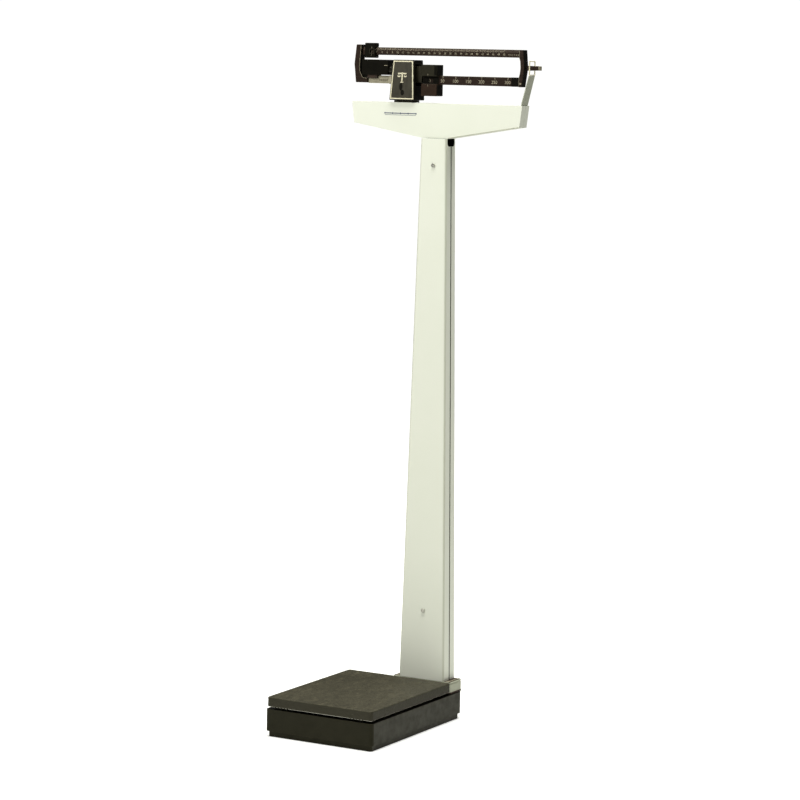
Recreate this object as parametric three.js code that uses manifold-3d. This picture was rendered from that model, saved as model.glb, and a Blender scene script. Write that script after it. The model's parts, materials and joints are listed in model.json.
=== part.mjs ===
// A physician's mechanical column scale: a low black base with a rubber-topped platform, a tapered
// hollow column, a long shelf housing on top of it and, above that, a two-bar weighing beam.
// Millimetres, +Z up. The origin is on the floor, at the centre of the base's footprint.
// +X is the reader's right, and the reader stands on the -Y side.
import * as THREE from 'three';
import { mergeVertices } from 'three/addons/utils/BufferGeometryUtils.js';
import Module from 'manifold-3d';

const wasm = await Module();
wasm.setup();

// ---------- driving dimensions ----------
const GAP = 0.4; // left between pieces that touch on the real scale

const BASE_W = 272; // black base cover, outside
const BASE_D = 414;
const SKIRT_INSET = 5; // the pan stands this far inside the cover
const SKIRT_H = 12.8; // floor to the cover's lower edge
const SHELL_TOP = 61.7;
const SHELL_WALL = 3;
const FRONT_CORNER_R = 8;
const REAR_CORNER_R = 22;

const PLATFORM_W = 267;
const PLATFORM_D = 355.6;
const PLATFORM_Y = -29;
const PLATFORM_BOTTOM = 68;
const PLATFORM_TOP = 89;
const MAT_TOP_T = 4;
const MAT_SIDE_T = 2;

const COLUMN_X = 57; // the column stands right of the base's centreline
const AXIS_Y = 176.5; // mid-depth plane of column, housing and beam
const COLUMN_SHEETS_X = 55.7; // the folded sheets stand a little left of the rod inside them
const COLUMN_FOOT_W = 116.2;
const COLUMN_TOP_W = 65.2;
const COLUMN_FOOT_D = 54;
const COLUMN_TOP_D = 44;
const COLUMN_SHEET = 1.6;
const COLUMN_EDGE_R = 5;
const SEAM = 0.6;

const SCREWS = { column_screw_upper: 1252, column_screw_lower: 247 }; // heights
const NOTCH = { halfDepth: 17, bottom: 1294, corner: 9 }; // under the housing, in both column sides

const PLINTH_X = [-17, 131];
const PLINTH_Y = [149.4, 205.5];
const PLINTH_WALL = 3;

const HOUSING_TOP_W = 431; // long housing on the column, seen from the front
const HOUSING_END_W = 419;
const HOUSING_D = 35;
const HOUSING_TOP = 1389;
const HOUSING_END_BOTTOM = 1341;
const HOUSING_BOTTOM = 1311.7;
const HOUSING_SHEET = 1.6;

// Badge cover over the beam's pivot: its front leans back and both sides lean in.
const COVER_Z = [1394, 1483.5];
const COVER_FOOT = { x: [-58.8, 5.8], y: [152.5, 199] };
const COVER_TOP = { x: [-53.2, 0.2], y: [157.8, 199] };
const COVER_WALL = 2.5;
const BADGE_MARGINS = [2.2, 4.7]; // outer and inner edge of the bright frame
const BADGE_T = 1.2;

const FULCRUM_X = -22; // beam knife edge
const FULCRUM_Z = 1462;
const LOAD_ARM = 12; // from the beam's knife edge to its load knife edge
const LOAD_X = FULCRUM_X - LOAD_ARM;
const SHELF_FULCRUM_X = 200; // pivot of the lever inside the housing
const SHELF_LEVER_Z = 1358;
const SHELF_BAR_X = [-62, 218];
const SHELF_BAR_T = 4;

const ARM_T = 2; // leaning strip that carries the trig loop
const ARM_HALF_W = 15.3;
const ARM_LINE = [[263.6, 1353], [267.8, 1390], [285, 1454.6]]; // x, z up its left face
const LOOP_X = [285.3, 287.7];
const LOOP_Z = [1455, 1487];
const LOOP_Y = [-15, 12.5]; // either side of the axis plane
const LOOP_WIRE = 2.2;

const BAR_T = 8; // thickness of both beam bars
const UPPER_BAR_Z = [1493.4, 1510.4];
const LOWER_BAR_Z = [1430.2, 1450];
const BAR_X = [-141, 258];
const LOWER_BAR_START = 15.5;
const RAIL_X = [-124.6, -69];
const RAIL_Z = [1430.2, 1447.5];
const END_HALF_D = 10; // beam's end plates, each side of the axis plane
const POINTER_Z = 1471;
const POINTER_X = [275.6, 301.6];
const POINTER_TIP_X = [302, 308];
const KNOB_X = [-69.2, -61.2];
const KNOB_Z = 1459.5;
const KNOB_R = 11;
const KNOB_SCREW_R = 3;

const WEIGHT_BOX_X = [-137.5, -70]; // box round the balance weight
const WEIGHT_BOX_Z = [1449, 1483];
const WEIGHT_BOX_HALF_D = 13;
const SADDLE_END = -99; // right end of the box's saddle on the rail
const SADDLE_HALF_D = 9;
const WEIGHT_X = -102;

const SLIP = 0.6; // running clearance of a poise on its bar
const SMALL_POISE = { x: [-133, -106.5], z: [1486.5, 1520], halfDepth: 8.5 };
const SMALL_WINDOW = { x: [-120, -110], z: [1497, 1506] };
const LARGE_POISE = { x: [17, 56.5], z: [1404.5, 1474], halfDepth: 15 };

const LONG_FULCRUM = -150; // platform levers, along Y
const SHORT_FULCRUM = 140;
const LEVER_LOAD_ARM = 30;
const LONG_LOAD = LONG_FULCRUM + LEVER_LOAD_ARM;
const SHORT_LOAD = SHORT_FULCRUM - LEVER_LOAD_ARM;
const LEVER_ARM_X = 95;
const LONG_LEVER_Z = 22;
const SHORT_LEVER_Z = 38;
const LEVER_T = 10;
const LEVER_W = 14;
const PIVOT_SEAT = 0.35; // extra room round a knife edge in its lever
const PICKUP = new THREE.Vector2(25, -5); // where the short lever hangs on the long one
const PAN_T = 4;
const STAND_Z = [PAN_T + GAP, 9];
const FRAME_Z = [61, 67.6];
const FOOT_TOP = FRAME_Z[0] - GAP;

// ---------- materials ----------
function finish(color, roughness, metalness) {
  return new THREE.MeshStandardMaterial({ color, roughness, metalness });
}
const BLACK_ENAMEL = finish(0x1c1b17, 0.45, 0.2);
const WHITE_ENAMEL = finish(0xe4e6da, 0.4, 0.1);
const RUBBER = finish(0x3a382f, 0.85, 0);
const CAST_IRON = finish(0x44433f, 0.7, 0.6);
const STEEL = finish(0xa9aaa8, 0.35, 1);
const CHROME = finish(0xd8d8d2, 0.15, 1);
const BAR_BROWN = finish(0x2c211c, 0.4, 0.5);
const BLACK_PLASTIC = finish(0x171614, 0.4, 0);
const IVORY = finish(0xcfc6a8, 0.5, 0);

// ---------- geometry helpers ----------
function box(x, y, z) {
  const part = new THREE.BoxGeometry(x[1] - x[0], y[1] - y[0], z[1] - z[0]);
  return part.translate((x[0] + x[1]) / 2, (y[0] + y[1]) / 2, (z[0] + z[1]) / 2);
}

function around(centre, half) {
  return [centre - half, centre + half];
}

const BAR_Y = around(AXIS_Y, BAR_T / 2);
const END_Y = around(AXIS_Y, END_HALF_D);
const LINK_X = around(LOAD_X, 5);
const LONG_Z = around(LONG_LEVER_Z, LEVER_T / 2);
const SHORT_Z = around(SHORT_LEVER_Z, LEVER_T / 2);
const COLUMN_Z = [PLATFORM_TOP + GAP, HOUSING_BOTTOM - GAP];
const SHELF_BAR_TOP = HOUSING_TOP - HOUSING_SHEET - GAP;
const SHELF_BAR_Z = [SHELF_BAR_TOP - SHELF_BAR_T, SHELF_BAR_TOP];

function outline(points) {
  return new THREE.Shape(points.map(([u, v]) => new THREE.Vector2(u, v)));
}

function extruded(shape, depth) {
  return new THREE.ExtrudeGeometry(shape, { depth, bevelEnabled: false, curveSegments: 5 });
}

// A plan outline (x, y) carried up from z[0] to z[1].
function plan(shape, z) {
  return extruded(shape, z[1] - z[0]).translate(0, 0, z[0]);
}

// A front outline (x, z) carried back from y[0] to y[1].
function front(shape, y) {
  return extruded(shape, y[1] - y[0]).rotateX(Math.PI / 2).translate(0, y[1], 0);
}

// Turns a shape's own x, y and depth to +Y, +Z and +X.
const TO_SIDE = new THREE.Matrix4().makeBasis(
  new THREE.Vector3(0, 1, 0), new THREE.Vector3(0, 0, 1), new THREE.Vector3(1, 0, 0),
);

// A side outline (y, z) carried from x[0] to x[1].
function side(shape, x) {
  return extruded(shape, x[1] - x[0]).applyMatrix4(TO_SIDE).translate(x[0], 0, 0);
}

function roundedPlan(x, y, frontR, rearR) {
  const shape = new THREE.Shape();
  const quarter = Math.PI / 2;
  shape.absarc(x[0] + frontR, y[0] + frontR, frontR, 2 * quarter, 3 * quarter);
  shape.absarc(x[1] - frontR, y[0] + frontR, frontR, 3 * quarter, 4 * quarter);
  shape.absarc(x[1] - rearR, y[1] - rearR, rearR, 0, quarter);
  shape.absarc(x[0] + rearR, y[1] - rearR, rearR, quarter, 2 * quarter);
  shape.closePath();
  return shape;
}

function rod(axis, centre, radius, length, sides = 20) {
  const part = new THREE.CylinderGeometry(radius, radius, length, sides);
  if (axis === 'x') part.rotateZ(-Math.PI / 2);
  if (axis === 'z') part.rotateX(Math.PI / 2);
  return part.translate(...centre);
}

function toSolid(geometry) {
  const bare = geometry.clone();
  bare.deleteAttribute('normal');
  bare.deleteAttribute('uv');
  const merged = mergeVertices(bare, 1e-4);
  return new wasm.Manifold(new wasm.Mesh({
    numProp: 3,
    vertProperties: new Float32Array(merged.attributes.position.array),
    triVerts: new Uint32Array(merged.index.array),
  }));
}

function toGeometry(solid) {
  const mesh = solid.getMesh();
  const geometry = new THREE.BufferGeometry();
  geometry.setAttribute('position', new THREE.BufferAttribute(mesh.vertProperties, 3));
  geometry.setIndex(new THREE.BufferAttribute(mesh.triVerts, 1));
  return geometry;
}

function join(...geometries) {
  return toGeometry(geometries.map(toSolid).reduce((whole, next) => whole.add(next)));
}

function cut(geometry, ...tools) {
  return toGeometry(tools.map(toSolid).reduce((rest, tool) => rest.subtract(tool), toSolid(geometry)));
}

function common(a, b) {
  return toGeometry(toSolid(a).intersect(toSolid(b)));
}

// A straight bar of one width between two plan points.
function planBar(from, to, width, z) {
  const along = new THREE.Vector2(to[0] - from[0], to[1] - from[1]);
  const aside = new THREE.Vector2(-along.y, along.x).setLength(width / 2);
  return plan(outline([
    [from[0] - aside.x, from[1] - aside.y], [to[0] - aside.x, to[1] - aside.y],
    [to[0] + aside.x, to[1] + aside.y], [from[0] + aside.x, from[1] + aside.y],
  ]), z);
}

// A convex outline moved inwards by one sheet thickness.
function inset(points, distance) {
  const lines = points.map(([x, y], i) => {
    const [nx, ny] = points[(i + 1) % points.length];
    const length = Math.hypot(nx - x, ny - y);
    const normal = [-(ny - y) / length, (nx - x) / length];
    return { normal, offset: normal[0] * x + normal[1] * y + distance };
  });
  return lines.map((line, i) => {
    const before = lines[(i + lines.length - 1) % lines.length];
    const det = before.normal[0] * line.normal[1] - before.normal[1] * line.normal[0];
    return [
      (before.offset * line.normal[1] - line.offset * before.normal[1]) / det,
      (before.normal[0] * line.offset - line.normal[0] * before.offset) / det,
    ];
  });
}

// A closed solid between two plan outlines of equally many points, at two heights.
function loft(lower, upper, z) {
  const count = lower.length;
  const positions = [];
  lower.forEach((p) => positions.push(p.x, p.y, z[0]));
  upper.forEach((p) => positions.push(p.x, p.y, z[1]));
  const index = [];
  for (let i = 0; i < count; i += 1) {
    const next = (i + 1) % count;
    index.push(i, next, count + next, i, count + next, count + i);
  }
  THREE.ShapeUtils.triangulateShape(lower, []).forEach(([a, b, c]) => index.push(a, c, b));
  THREE.ShapeUtils.triangulateShape(upper, []).forEach(([a, b, c]) => {
    index.push(count + a, count + b, count + c);
  });
  const geometry = new THREE.BufferGeometry();
  geometry.setAttribute('position', new THREE.Float32BufferAttribute(positions, 3));
  geometry.setIndex(index);
  return geometry;
}

// ---------- the object ----------
const scale = new THREE.Group();

function add(name, geometry, material) {
  const mesh = new THREE.Mesh(geometry, material);
  mesh.name = name;
  scale.add(mesh);
}

// ---------- base ----------
function basePan() {
  const half = [BASE_W / 2 - SKIRT_INSET, BASE_D / 2 - SKIRT_INSET];
  const rimT = 5;
  const rimTop = SKIRT_H - GAP;
  const slab = plan(roundedPlan(around(0, half[0]), around(0, half[1]), 5, 18), [0, rimTop]);
  const well = plan(
    roundedPlan(around(0, half[0] - rimT), around(0, half[1] - rimT), 3, 14), [PAN_T, rimTop + 1],
  );
  const posts = [];
  for (const x of [-113, 113]) {
    for (const y of [-188, 180]) {
      posts.push(box(around(x, 6), around(y, 6), [PAN_T - 1, SHELL_TOP - SHELL_WALL - GAP]));
    }
  }
  return join(cut(slab, well), ...posts);
}

function baseShell() {
  const x = around(0, BASE_W / 2);
  const y = around(0, BASE_D / 2);
  const inner = SHELL_WALL;
  const body = plan(roundedPlan(x, y, FRONT_CORNER_R, REAR_CORNER_R), [SKIRT_H, SHELL_TOP]);
  const hollow = plan(
    roundedPlan([x[0] + inner, x[1] - inner], [y[0] + inner, y[1] - inner], 5, 19),
    [SKIRT_H - 1, SHELL_TOP - SHELL_WALL],
  );
  const mouth = box([-112, 112], [-182, 136], [SHELL_TOP - 10, SHELL_TOP + 1]);
  const columnHole = box(around(COLUMN_X, 16), around(AXIS_Y, 12), [SHELL_TOP - 10, SHELL_TOP + 1]);
  return cut(body, hollow, mouth, columnHole);
}

function columnPlinth() {
  const body = plan(roundedPlan(PLINTH_X, PLINTH_Y, 3, 12), [SHELL_TOP + GAP, PLATFORM_TOP]);
  const x = [PLINTH_X[0] + PLINTH_WALL, PLINTH_X[1] - PLINTH_WALL];
  const y = [PLINTH_Y[0] + PLINTH_WALL, PLINTH_Y[1] - PLINTH_WALL];
  const hollow = plan(roundedPlan(x, y, 2, 9), [SHELL_TOP, PLATFORM_TOP - PLINTH_WALL]);
  const rodHole = box(around(COLUMN_X, 16), around(AXIS_Y, 12), [SHELL_TOP, PLATFORM_TOP + 1]);
  return cut(body, hollow, rodHole);
}

// Steel tower on the pan that carries the column; the long lever's nose reaches into it.
function columnPedestal() {
  const z = [PAN_T + GAP, SHELL_TOP - SHELL_WALL - GAP];
  const block = box(around(COLUMN_X, 40), [156, 197], z);
  const tunnel = box(around(COLUMN_X, 34), [150, 200], [z[0] - 1, z[1] - 5]);
  const rodHole = box(around(COLUMN_X, 9), around(AXIS_Y, 9), [z[1] - 6, z[1] + 1]);
  return cut(block, tunnel, rodHole);
}

add('base_pan', basePan(), CAST_IRON);
add('base_shell', baseShell(), BLACK_ENAMEL);
add('column_pedestal', columnPedestal(), CAST_IRON);
add('column_plinth', columnPlinth(), WHITE_ENAMEL);

// ---------- platform levers ----------
// A three-sided knife-edge pivot lying along X, its edge pointing down or up.
function knifeEdge(x, y, z, halfLength, edgeDown, grow = 0) {
  const up = edgeDown ? 1 : -1;
  const points = [[y, z - up * (3 + 2 * grow)], [y + up * (3 + 2 * grow), z + up * (2 + grow)],
    [y - up * (3 + 2 * grow), z + up * (2 + grow)]];
  return side(outline(points), around(x, halfLength));
}

function leverPivots(fulcrumY, loadY, z, grow = 0) {
  const pivots = {};
  for (const [hand, x] of [['left', -LEVER_ARM_X], ['right', LEVER_ARM_X]]) {
    pivots[`fulcrum_pivot_${hand}`] = knifeEdge(x, fulcrumY, z, 14, true, grow);
    pivots[`load_pivot_${hand}`] = knifeEdge(x, loadY, z, 14, false, grow);
  }
  return pivots;
}

function longLever() {
  const bend = [COLUMN_X, 112];
  const frame = join(
    planBar([-LEVER_ARM_X, -162], [-LEVER_ARM_X, -96], LEVER_W, LONG_Z),
    planBar([LEVER_ARM_X, -162], [LEVER_ARM_X, -96], LEVER_W, LONG_Z),
    planBar([-LEVER_ARM_X, -102], bend, LEVER_W, LONG_Z),
    planBar([LEVER_ARM_X, -102], bend, LEVER_W, LONG_Z),
    planBar([-30, PICKUP.y], [78, PICKUP.y], 8, LONG_Z),
    planBar([COLUMN_X, 100], [COLUMN_X, 186], 8, LONG_Z),
  );
  const seats = leverPivots(LONG_FULCRUM, LONG_LOAD, LONG_LEVER_Z, PIVOT_SEAT);
  return cut(frame, ...Object.values(seats));
}

function shortLever() {
  const bend = [PICKUP.x, 28];
  const frame = join(
    planBar([-LEVER_ARM_X, 152], [-LEVER_ARM_X, 92], LEVER_W, SHORT_Z),
    planBar([LEVER_ARM_X, 152], [LEVER_ARM_X, 92], LEVER_W, SHORT_Z),
    planBar([-LEVER_ARM_X, 98], bend, LEVER_W, SHORT_Z),
    planBar([LEVER_ARM_X, 98], bend, LEVER_W, SHORT_Z),
    planBar([PICKUP.x, 34], [PICKUP.x, PICKUP.y - 9], 8, SHORT_Z),
  );
  const seats = leverPivots(SHORT_FULCRUM, SHORT_LOAD, SHORT_LEVER_Z, PIVOT_SEAT);
  return cut(frame, ...Object.values(seats));
}

// A forked block with a V under or over the pivot's two free ends.
function forkedBearing(x, y, pivotZ, baseZ, plateZ, opensUp) {
  const reach = opensUp ? [plateZ[0], pivotZ - 0.5] : [pivotZ + 0.5, plateZ[1]];
  const block = box(around(x, 14), around(y, 8), [Math.min(baseZ, reach[0]), Math.max(baseZ, reach[1])]);
  const slot = opensUp ? [plateZ[1], pivotZ + 20] : [pivotZ - 20, plateZ[0]];
  const legRoom = box(around(x, 8.5), around(y, 9), slot);
  const notch = knifeEdge(x, y, pivotZ, 15, opensUp, 0.45);
  return cut(block, legRoom, notch);
}

function addLever(name, lever, fulcrumY, loadY, z) {
  add(name, lever, CAST_IRON);
  for (const [part, geometry] of Object.entries(leverPivots(fulcrumY, loadY, z))) {
    add(`${name}_${part}`, geometry, STEEL);
  }
}

addLever('long_lever', longLever(), LONG_FULCRUM, LONG_LOAD, LONG_LEVER_Z);
addLever('short_lever', shortLever(), SHORT_FULCRUM, SHORT_LOAD, SHORT_LEVER_Z);

for (const [hand, x] of [['left', -LEVER_ARM_X], ['right', LEVER_ARM_X]]) {
  for (const [end, fulcrumY, loadY, z] of [
    ['front', LONG_FULCRUM, LONG_LOAD, LONG_LEVER_Z],
    ['rear', SHORT_FULCRUM, SHORT_LOAD, SHORT_LEVER_Z],
  ]) {
    const stand = forkedBearing(x, fulcrumY, z, STAND_Z[0], STAND_Z, true);
    const foot = forkedBearing(x, loadY, z, FOOT_TOP, [z + 9, FOOT_TOP], false);
    add(`lever_stand_${end}_${hand}`, stand, STEEL);
    add(`platform_foot_${end}_${hand}`, foot, STEEL);
  }
}

// Stirrup that hangs the short lever's nose on the long lever's cross bar.
function leverLink() {
  const z = [LONG_Z[0] - 4, SHORT_Z[1] + 4];
  const block = box(around(PICKUP.x, 9), around(PICKUP.y, 9), z);
  const upperEye = box(around(PICKUP.x, 4.8), around(PICKUP.y, 10), [SHORT_Z[0] - 0.8, SHORT_Z[1] + 0.8]);
  const lowerEye = box(around(PICKUP.x, 10), around(PICKUP.y, 4.8), [LONG_Z[0] - 0.8, LONG_Z[1] + 0.8]);
  return cut(block, upperEye, lowerEye);
}
add('lever_link', leverLink(), STEEL);

// ---------- platform ----------
function platformFrame() {
  const rails = [-LEVER_ARM_X, LEVER_ARM_X].map((x) => box(around(x, 9), [-170, 128], FRAME_Z));
  const ties = [LONG_LOAD, -5, SHORT_LOAD].map((y) => box(around(0, LEVER_ARM_X), around(y, 9), FRAME_Z));
  return join(...rails, ...ties);
}

function platformCover() {
  const x = around(0, PLATFORM_W / 2 - MAT_SIDE_T - GAP);
  const y = around(PLATFORM_Y, PLATFORM_D / 2 - MAT_SIDE_T - GAP);
  const z = [PLATFORM_BOTTOM, PLATFORM_TOP - MAT_TOP_T - GAP];
  const body = plan(roundedPlan(x, y, 6, 6), z);
  const well = box([x[0] + 3, x[1] - 3], [y[0] + 3, y[1] - 3], [z[0] - 1, z[1] - 3]);
  const ribs = [-LEVER_ARM_X, LEVER_ARM_X].map((rib) => box(around(rib, 2), [y[0] + 2, y[1] - 2], z));
  return join(cut(body, well), ...ribs);
}

function platformMat() {
  const x = around(0, PLATFORM_W / 2);
  const y = around(PLATFORM_Y, PLATFORM_D / 2);
  const body = plan(roundedPlan(x, y, 8, 8), [PLATFORM_BOTTOM, PLATFORM_TOP]);
  const inner = plan(
    roundedPlan([x[0] + MAT_SIDE_T, x[1] - MAT_SIDE_T], [y[0] + MAT_SIDE_T, y[1] - MAT_SIDE_T], 6, 6),
    [PLATFORM_BOTTOM - 1, PLATFORM_TOP - MAT_TOP_T],
  );
  return cut(body, inner);
}

add('platform_frame', platformFrame(), STEEL);
add('platform_cover', platformCover(), BLACK_ENAMEL);
add('platform_mat', platformMat(), RUBBER);

// ---------- column ----------
// Plan outline of one folded sheet channel, open towards the seam; ahead is -1 front, +1 rear.
function channelOutline(width, depth, ahead) {
  const face = (a, b, r) => {
    const points = [new THREE.Vector2(-a, -SEAM / 2)];
    for (const [cx, start] of [[-a + r, Math.PI], [a - r, 1.5 * Math.PI]]) {
      for (let i = 0; i <= 4; i += 1) {
        const angle = start + (i * Math.PI) / 8;
        points.push(new THREE.Vector2(cx + r * Math.cos(angle), -b + r + r * Math.sin(angle)));
      }
    }
    points.push(new THREE.Vector2(a, -SEAM / 2));
    return points;
  };
  const outer = face(width / 2, depth / 2, COLUMN_EDGE_R);
  const inner = face(width / 2 - COLUMN_SHEET, depth / 2 - COLUMN_SHEET, COLUMN_EDGE_R - COLUMN_SHEET);
  const ring = [...outer, ...inner.reverse()].map((p) => new THREE.Vector2(p.x, p.y * -ahead));
  if (ahead > 0) ring.reverse();
  return ring.map((p) => p.add(new THREE.Vector2(COLUMN_SHEETS_X, AXIS_Y)));
}

function columnDepthAt(z) {
  const t = (z - COLUMN_Z[0]) / (COLUMN_Z[1] - COLUMN_Z[0]);
  return COLUMN_FOOT_D + (COLUMN_TOP_D - COLUMN_FOOT_D) * t;
}

// Round-bottomed gap in both column sides, just under the housing.
function sideNotch() {
  const [near, far] = around(AXIS_Y, NOTCH.halfDepth);
  const { bottom, corner } = NOTCH;
  const notch = new THREE.Shape();
  notch.moveTo(near, COLUMN_Z[1] + 1);
  notch.lineTo(near, bottom + corner);
  notch.quadraticCurveTo(near, bottom, near + corner, bottom);
  notch.lineTo(far - corner, bottom);
  notch.quadraticCurveTo(far, bottom, far, bottom + corner);
  notch.lineTo(far, COLUMN_Z[1] + 1);
  notch.closePath();
  return side(notch, around(COLUMN_SHEETS_X, COLUMN_TOP_W));
}

function columnChannel(ahead) {
  const lower = channelOutline(COLUMN_FOOT_W, COLUMN_FOOT_D, ahead);
  const upper = channelOutline(COLUMN_TOP_W, COLUMN_TOP_D, ahead);
  const holes = Object.values(SCREWS).map((z) => {
    return rod('y', [COLUMN_X, AXIS_Y + (ahead * columnDepthAt(z)) / 2, z], 2.9, 8);
  });
  return cut(loft(lower, upper, COLUMN_Z), sideNotch(), ...(ahead < 0 ? holes : []));
}

function columnScrew(z) {
  const face = AXIS_Y - columnDepthAt(z) / 2;
  const head = rod('y', [COLUMN_X, face - GAP - 1.3, z], 4.5, 2.6);
  const shank = rod('y', [COLUMN_X, face + 4, z], 2.4, 13);
  const slot = box(around(COLUMN_X, 3), [face - 4, face - GAP - 1.6], around(z, 0.5));
  return cut(join(head, shank), slot);
}

// Cross tie inside the column: the screw ends in it and the draft rod passes through it.
function columnTie(z) {
  const halfDepth = columnDepthAt(z) / 2 - COLUMN_SHEET - 1.2;
  const body = box(around(COLUMN_X, 20), around(AXIS_Y, halfDepth), around(z, 8));
  const rodRoom = box(around(COLUMN_X, 12), around(AXIS_Y, halfDepth - 6), around(z, 9));
  const thread = rod('y', [COLUMN_X, AXIS_Y - halfDepth, z], 2.8, 16);
  return cut(body, rodRoom, thread);
}

// Two uprights that tie the column's top to the shelf bar, either side of the shelf lever.
function columnHeadBracket() {
  const z = [1270, SHELF_BAR_Z[0] - GAP];
  const body = box(around(COLUMN_X, 18), around(AXIS_Y, 13), z);
  const leverRoom = box(around(COLUMN_X, 19), around(AXIS_Y, 10), [z[0] - 1, z[1] - 4]);
  return cut(body, leverRoom);
}

add('column_front', columnChannel(-1), WHITE_ENAMEL);
add('column_rear', columnChannel(1), WHITE_ENAMEL);
for (const [name, z] of Object.entries(SCREWS)) add(name, columnScrew(z), STEEL);
add('column_tie_upper', columnTie(SCREWS.column_screw_upper), STEEL);
add('column_tie_lower', columnTie(SCREWS.column_screw_lower), STEEL);
add('column_head_bracket', columnHeadBracket(), STEEL);

// ---------- draft rod ----------
function draftRod() {
  const lowerEye = cut(
    box(around(COLUMN_X, 8), around(AXIS_Y, 3), [LONG_Z[0] - 5, LONG_Z[1] + 6]),
    box(around(COLUMN_X, 4.8), around(AXIS_Y, 4), [LONG_Z[0] - 0.8, LONG_Z[1] + 0.8]),
  );
  const upperEye = cut(
    box(around(COLUMN_X, 3), around(AXIS_Y, 7), [SHELF_LEVER_Z - 14, SHELF_LEVER_Z + 12]),
    box(around(COLUMN_X, 4), around(AXIS_Y, 4), around(SHELF_LEVER_Z, 7)),
  );
  const z = [LONG_Z[1] + 4, SHELF_LEVER_Z - 11];
  const shaft = rod('z', [COLUMN_X, AXIS_Y, (z[0] + z[1]) / 2], 2.5, z[1] - z[0], 12);
  return join(lowerEye, upperEye, shaft);
}
add('draft_rod', draftRod(), STEEL);

// ---------- housing and the lever inside it ----------
function housingOutline(sheet) {
  const points = [
    [-HOUSING_TOP_W / 2, HOUSING_TOP], [-HOUSING_END_W / 2, HOUSING_END_BOTTOM],
    [-COLUMN_TOP_W / 2, HOUSING_BOTTOM], [COLUMN_TOP_W / 2, HOUSING_BOTTOM],
    [HOUSING_END_W / 2, HOUSING_END_BOTTOM], [HOUSING_TOP_W / 2, HOUSING_TOP],
  ].map(([x, z]) => [COLUMN_X + x, z]);
  return outline(sheet ? inset(points, sheet) : points);
}

function housingHalf(ahead) {
  const face = AXIS_Y + (ahead * HOUSING_D) / 2;
  const seam = AXIS_Y + (ahead * SEAM) / 2;
  const y = [Math.min(face, seam), Math.max(face, seam)];
  const inner = ahead < 0 ? [y[0] + HOUSING_SHEET, y[1] + 1] : [y[0] - 1, y[1] - HOUSING_SHEET];
  return cut(
    front(housingOutline(0), y),
    front(housingOutline(HOUSING_SHEET), inner),
    box(around(COLUMN_X, 22), around(AXIS_Y, 14), around(HOUSING_BOTTOM, 3)),
    box(LINK_X, around(AXIS_Y, 9), around(HOUSING_TOP, 4)),
    box([266.4, 270.9], around(AXIS_Y, 15.8), around(HOUSING_TOP, 3)),
  );
}

function shelfBar() {
  const body = box(SHELF_BAR_X, around(AXIS_Y, 13), SHELF_BAR_Z);
  return cut(body, box(LINK_X, around(AXIS_Y, 9), around(HOUSING_TOP, 12)));
}

function shelfLeverStand() {
  const top = SHELF_BAR_Z[0] - GAP;
  const body = box(around(SHELF_FULCRUM_X, 9), around(AXIS_Y, 9), [SHELF_LEVER_Z - 9, top]);
  const leverRoom = box(around(SHELF_FULCRUM_X, 10), around(AXIS_Y, 4), [SHELF_LEVER_Z - 10, top - 4]);
  const pinHole = rod('y', [SHELF_FULCRUM_X, AXIS_Y, SHELF_LEVER_Z], 3.1, 30);
  return cut(body, leverRoom, pinHole);
}

function shelfLever() {
  const body = front(outline([
    [LOAD_X - 6, SHELF_LEVER_Z - 4], [SHELF_FULCRUM_X + 6, SHELF_LEVER_Z - 6],
    [SHELF_FULCRUM_X + 6, SHELF_LEVER_Z + 6], [LOAD_X - 6, SHELF_LEVER_Z + 4],
  ]), around(AXIS_Y, 3));
  const pin = rod('y', [SHELF_FULCRUM_X, AXIS_Y, SHELF_LEVER_Z], 2.6, 17);
  return join(body, pin);
}

// Link from the beam's load knife edge down to the shelf lever's nose.
function beamLink() {
  const loadZ = FULCRUM_Z;
  const yokeZ = [1400, loadZ + 9];
  const yoke = cut(
    box(around(LOAD_X, 4), around(AXIS_Y, 14), yokeZ),
    box(around(LOAD_X, 5), around(AXIS_Y, 10), [yokeZ[0] + 4, yokeZ[1] + 1]),
    front(outline([[LOAD_X - 2.6, loadZ - 4], [LOAD_X + 2.6, loadZ - 4], [LOAD_X + 2.6, loadZ + 1],
      [LOAD_X, loadZ + 4.4], [LOAD_X - 2.6, loadZ + 1]]), around(AXIS_Y, 15)),
  );
  const stem = rod('z', [LOAD_X, AXIS_Y, (yokeZ[0] + SHELF_LEVER_Z) / 2 + 5], 2.5,
    yokeZ[0] - SHELF_LEVER_Z - 6, 12);
  const eye = cut(
    box(around(LOAD_X, 3), around(AXIS_Y, 7), [SHELF_LEVER_Z - 10, SHELF_LEVER_Z + 12]),
    box(around(LOAD_X, 4), around(AXIS_Y, 4), around(SHELF_LEVER_Z, 5.4)),
  );
  return join(yoke, stem, eye);
}

add('housing_front', housingHalf(-1), WHITE_ENAMEL);
add('housing_rear', housingHalf(1), WHITE_ENAMEL);
add('shelf_bar', shelfBar(), STEEL);
add('shelf_lever_stand', shelfLeverStand(), STEEL);
add('shelf_lever', shelfLever(), STEEL);
add('beam_link', beamLink(), STEEL);

// ---------- trig arm and loop, which stop the pointer ----------
function trigArm() {
  const rightFace = ARM_LINE.map(([x, z]) => [x + ARM_T, z]);
  const strip = front(outline([...rightFace, ...ARM_LINE.toReversed()]), around(AXIS_Y, ARM_HALF_W + 1));
  const [near, far] = around(AXIS_Y, ARM_HALF_W);
  const bottom = ARM_LINE[0][1] - 3;
  const taper = side(outline([
    [near, bottom], [far, bottom], [far, HOUSING_TOP + 2],
    [AXIS_Y + LOOP_Y[1], LOOP_Z[0]], [near, LOOP_Z[0]],
  ]), [ARM_LINE[0][0] - 5, LOOP_X[1] + 5]);
  return common(strip, taper);
}

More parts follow.
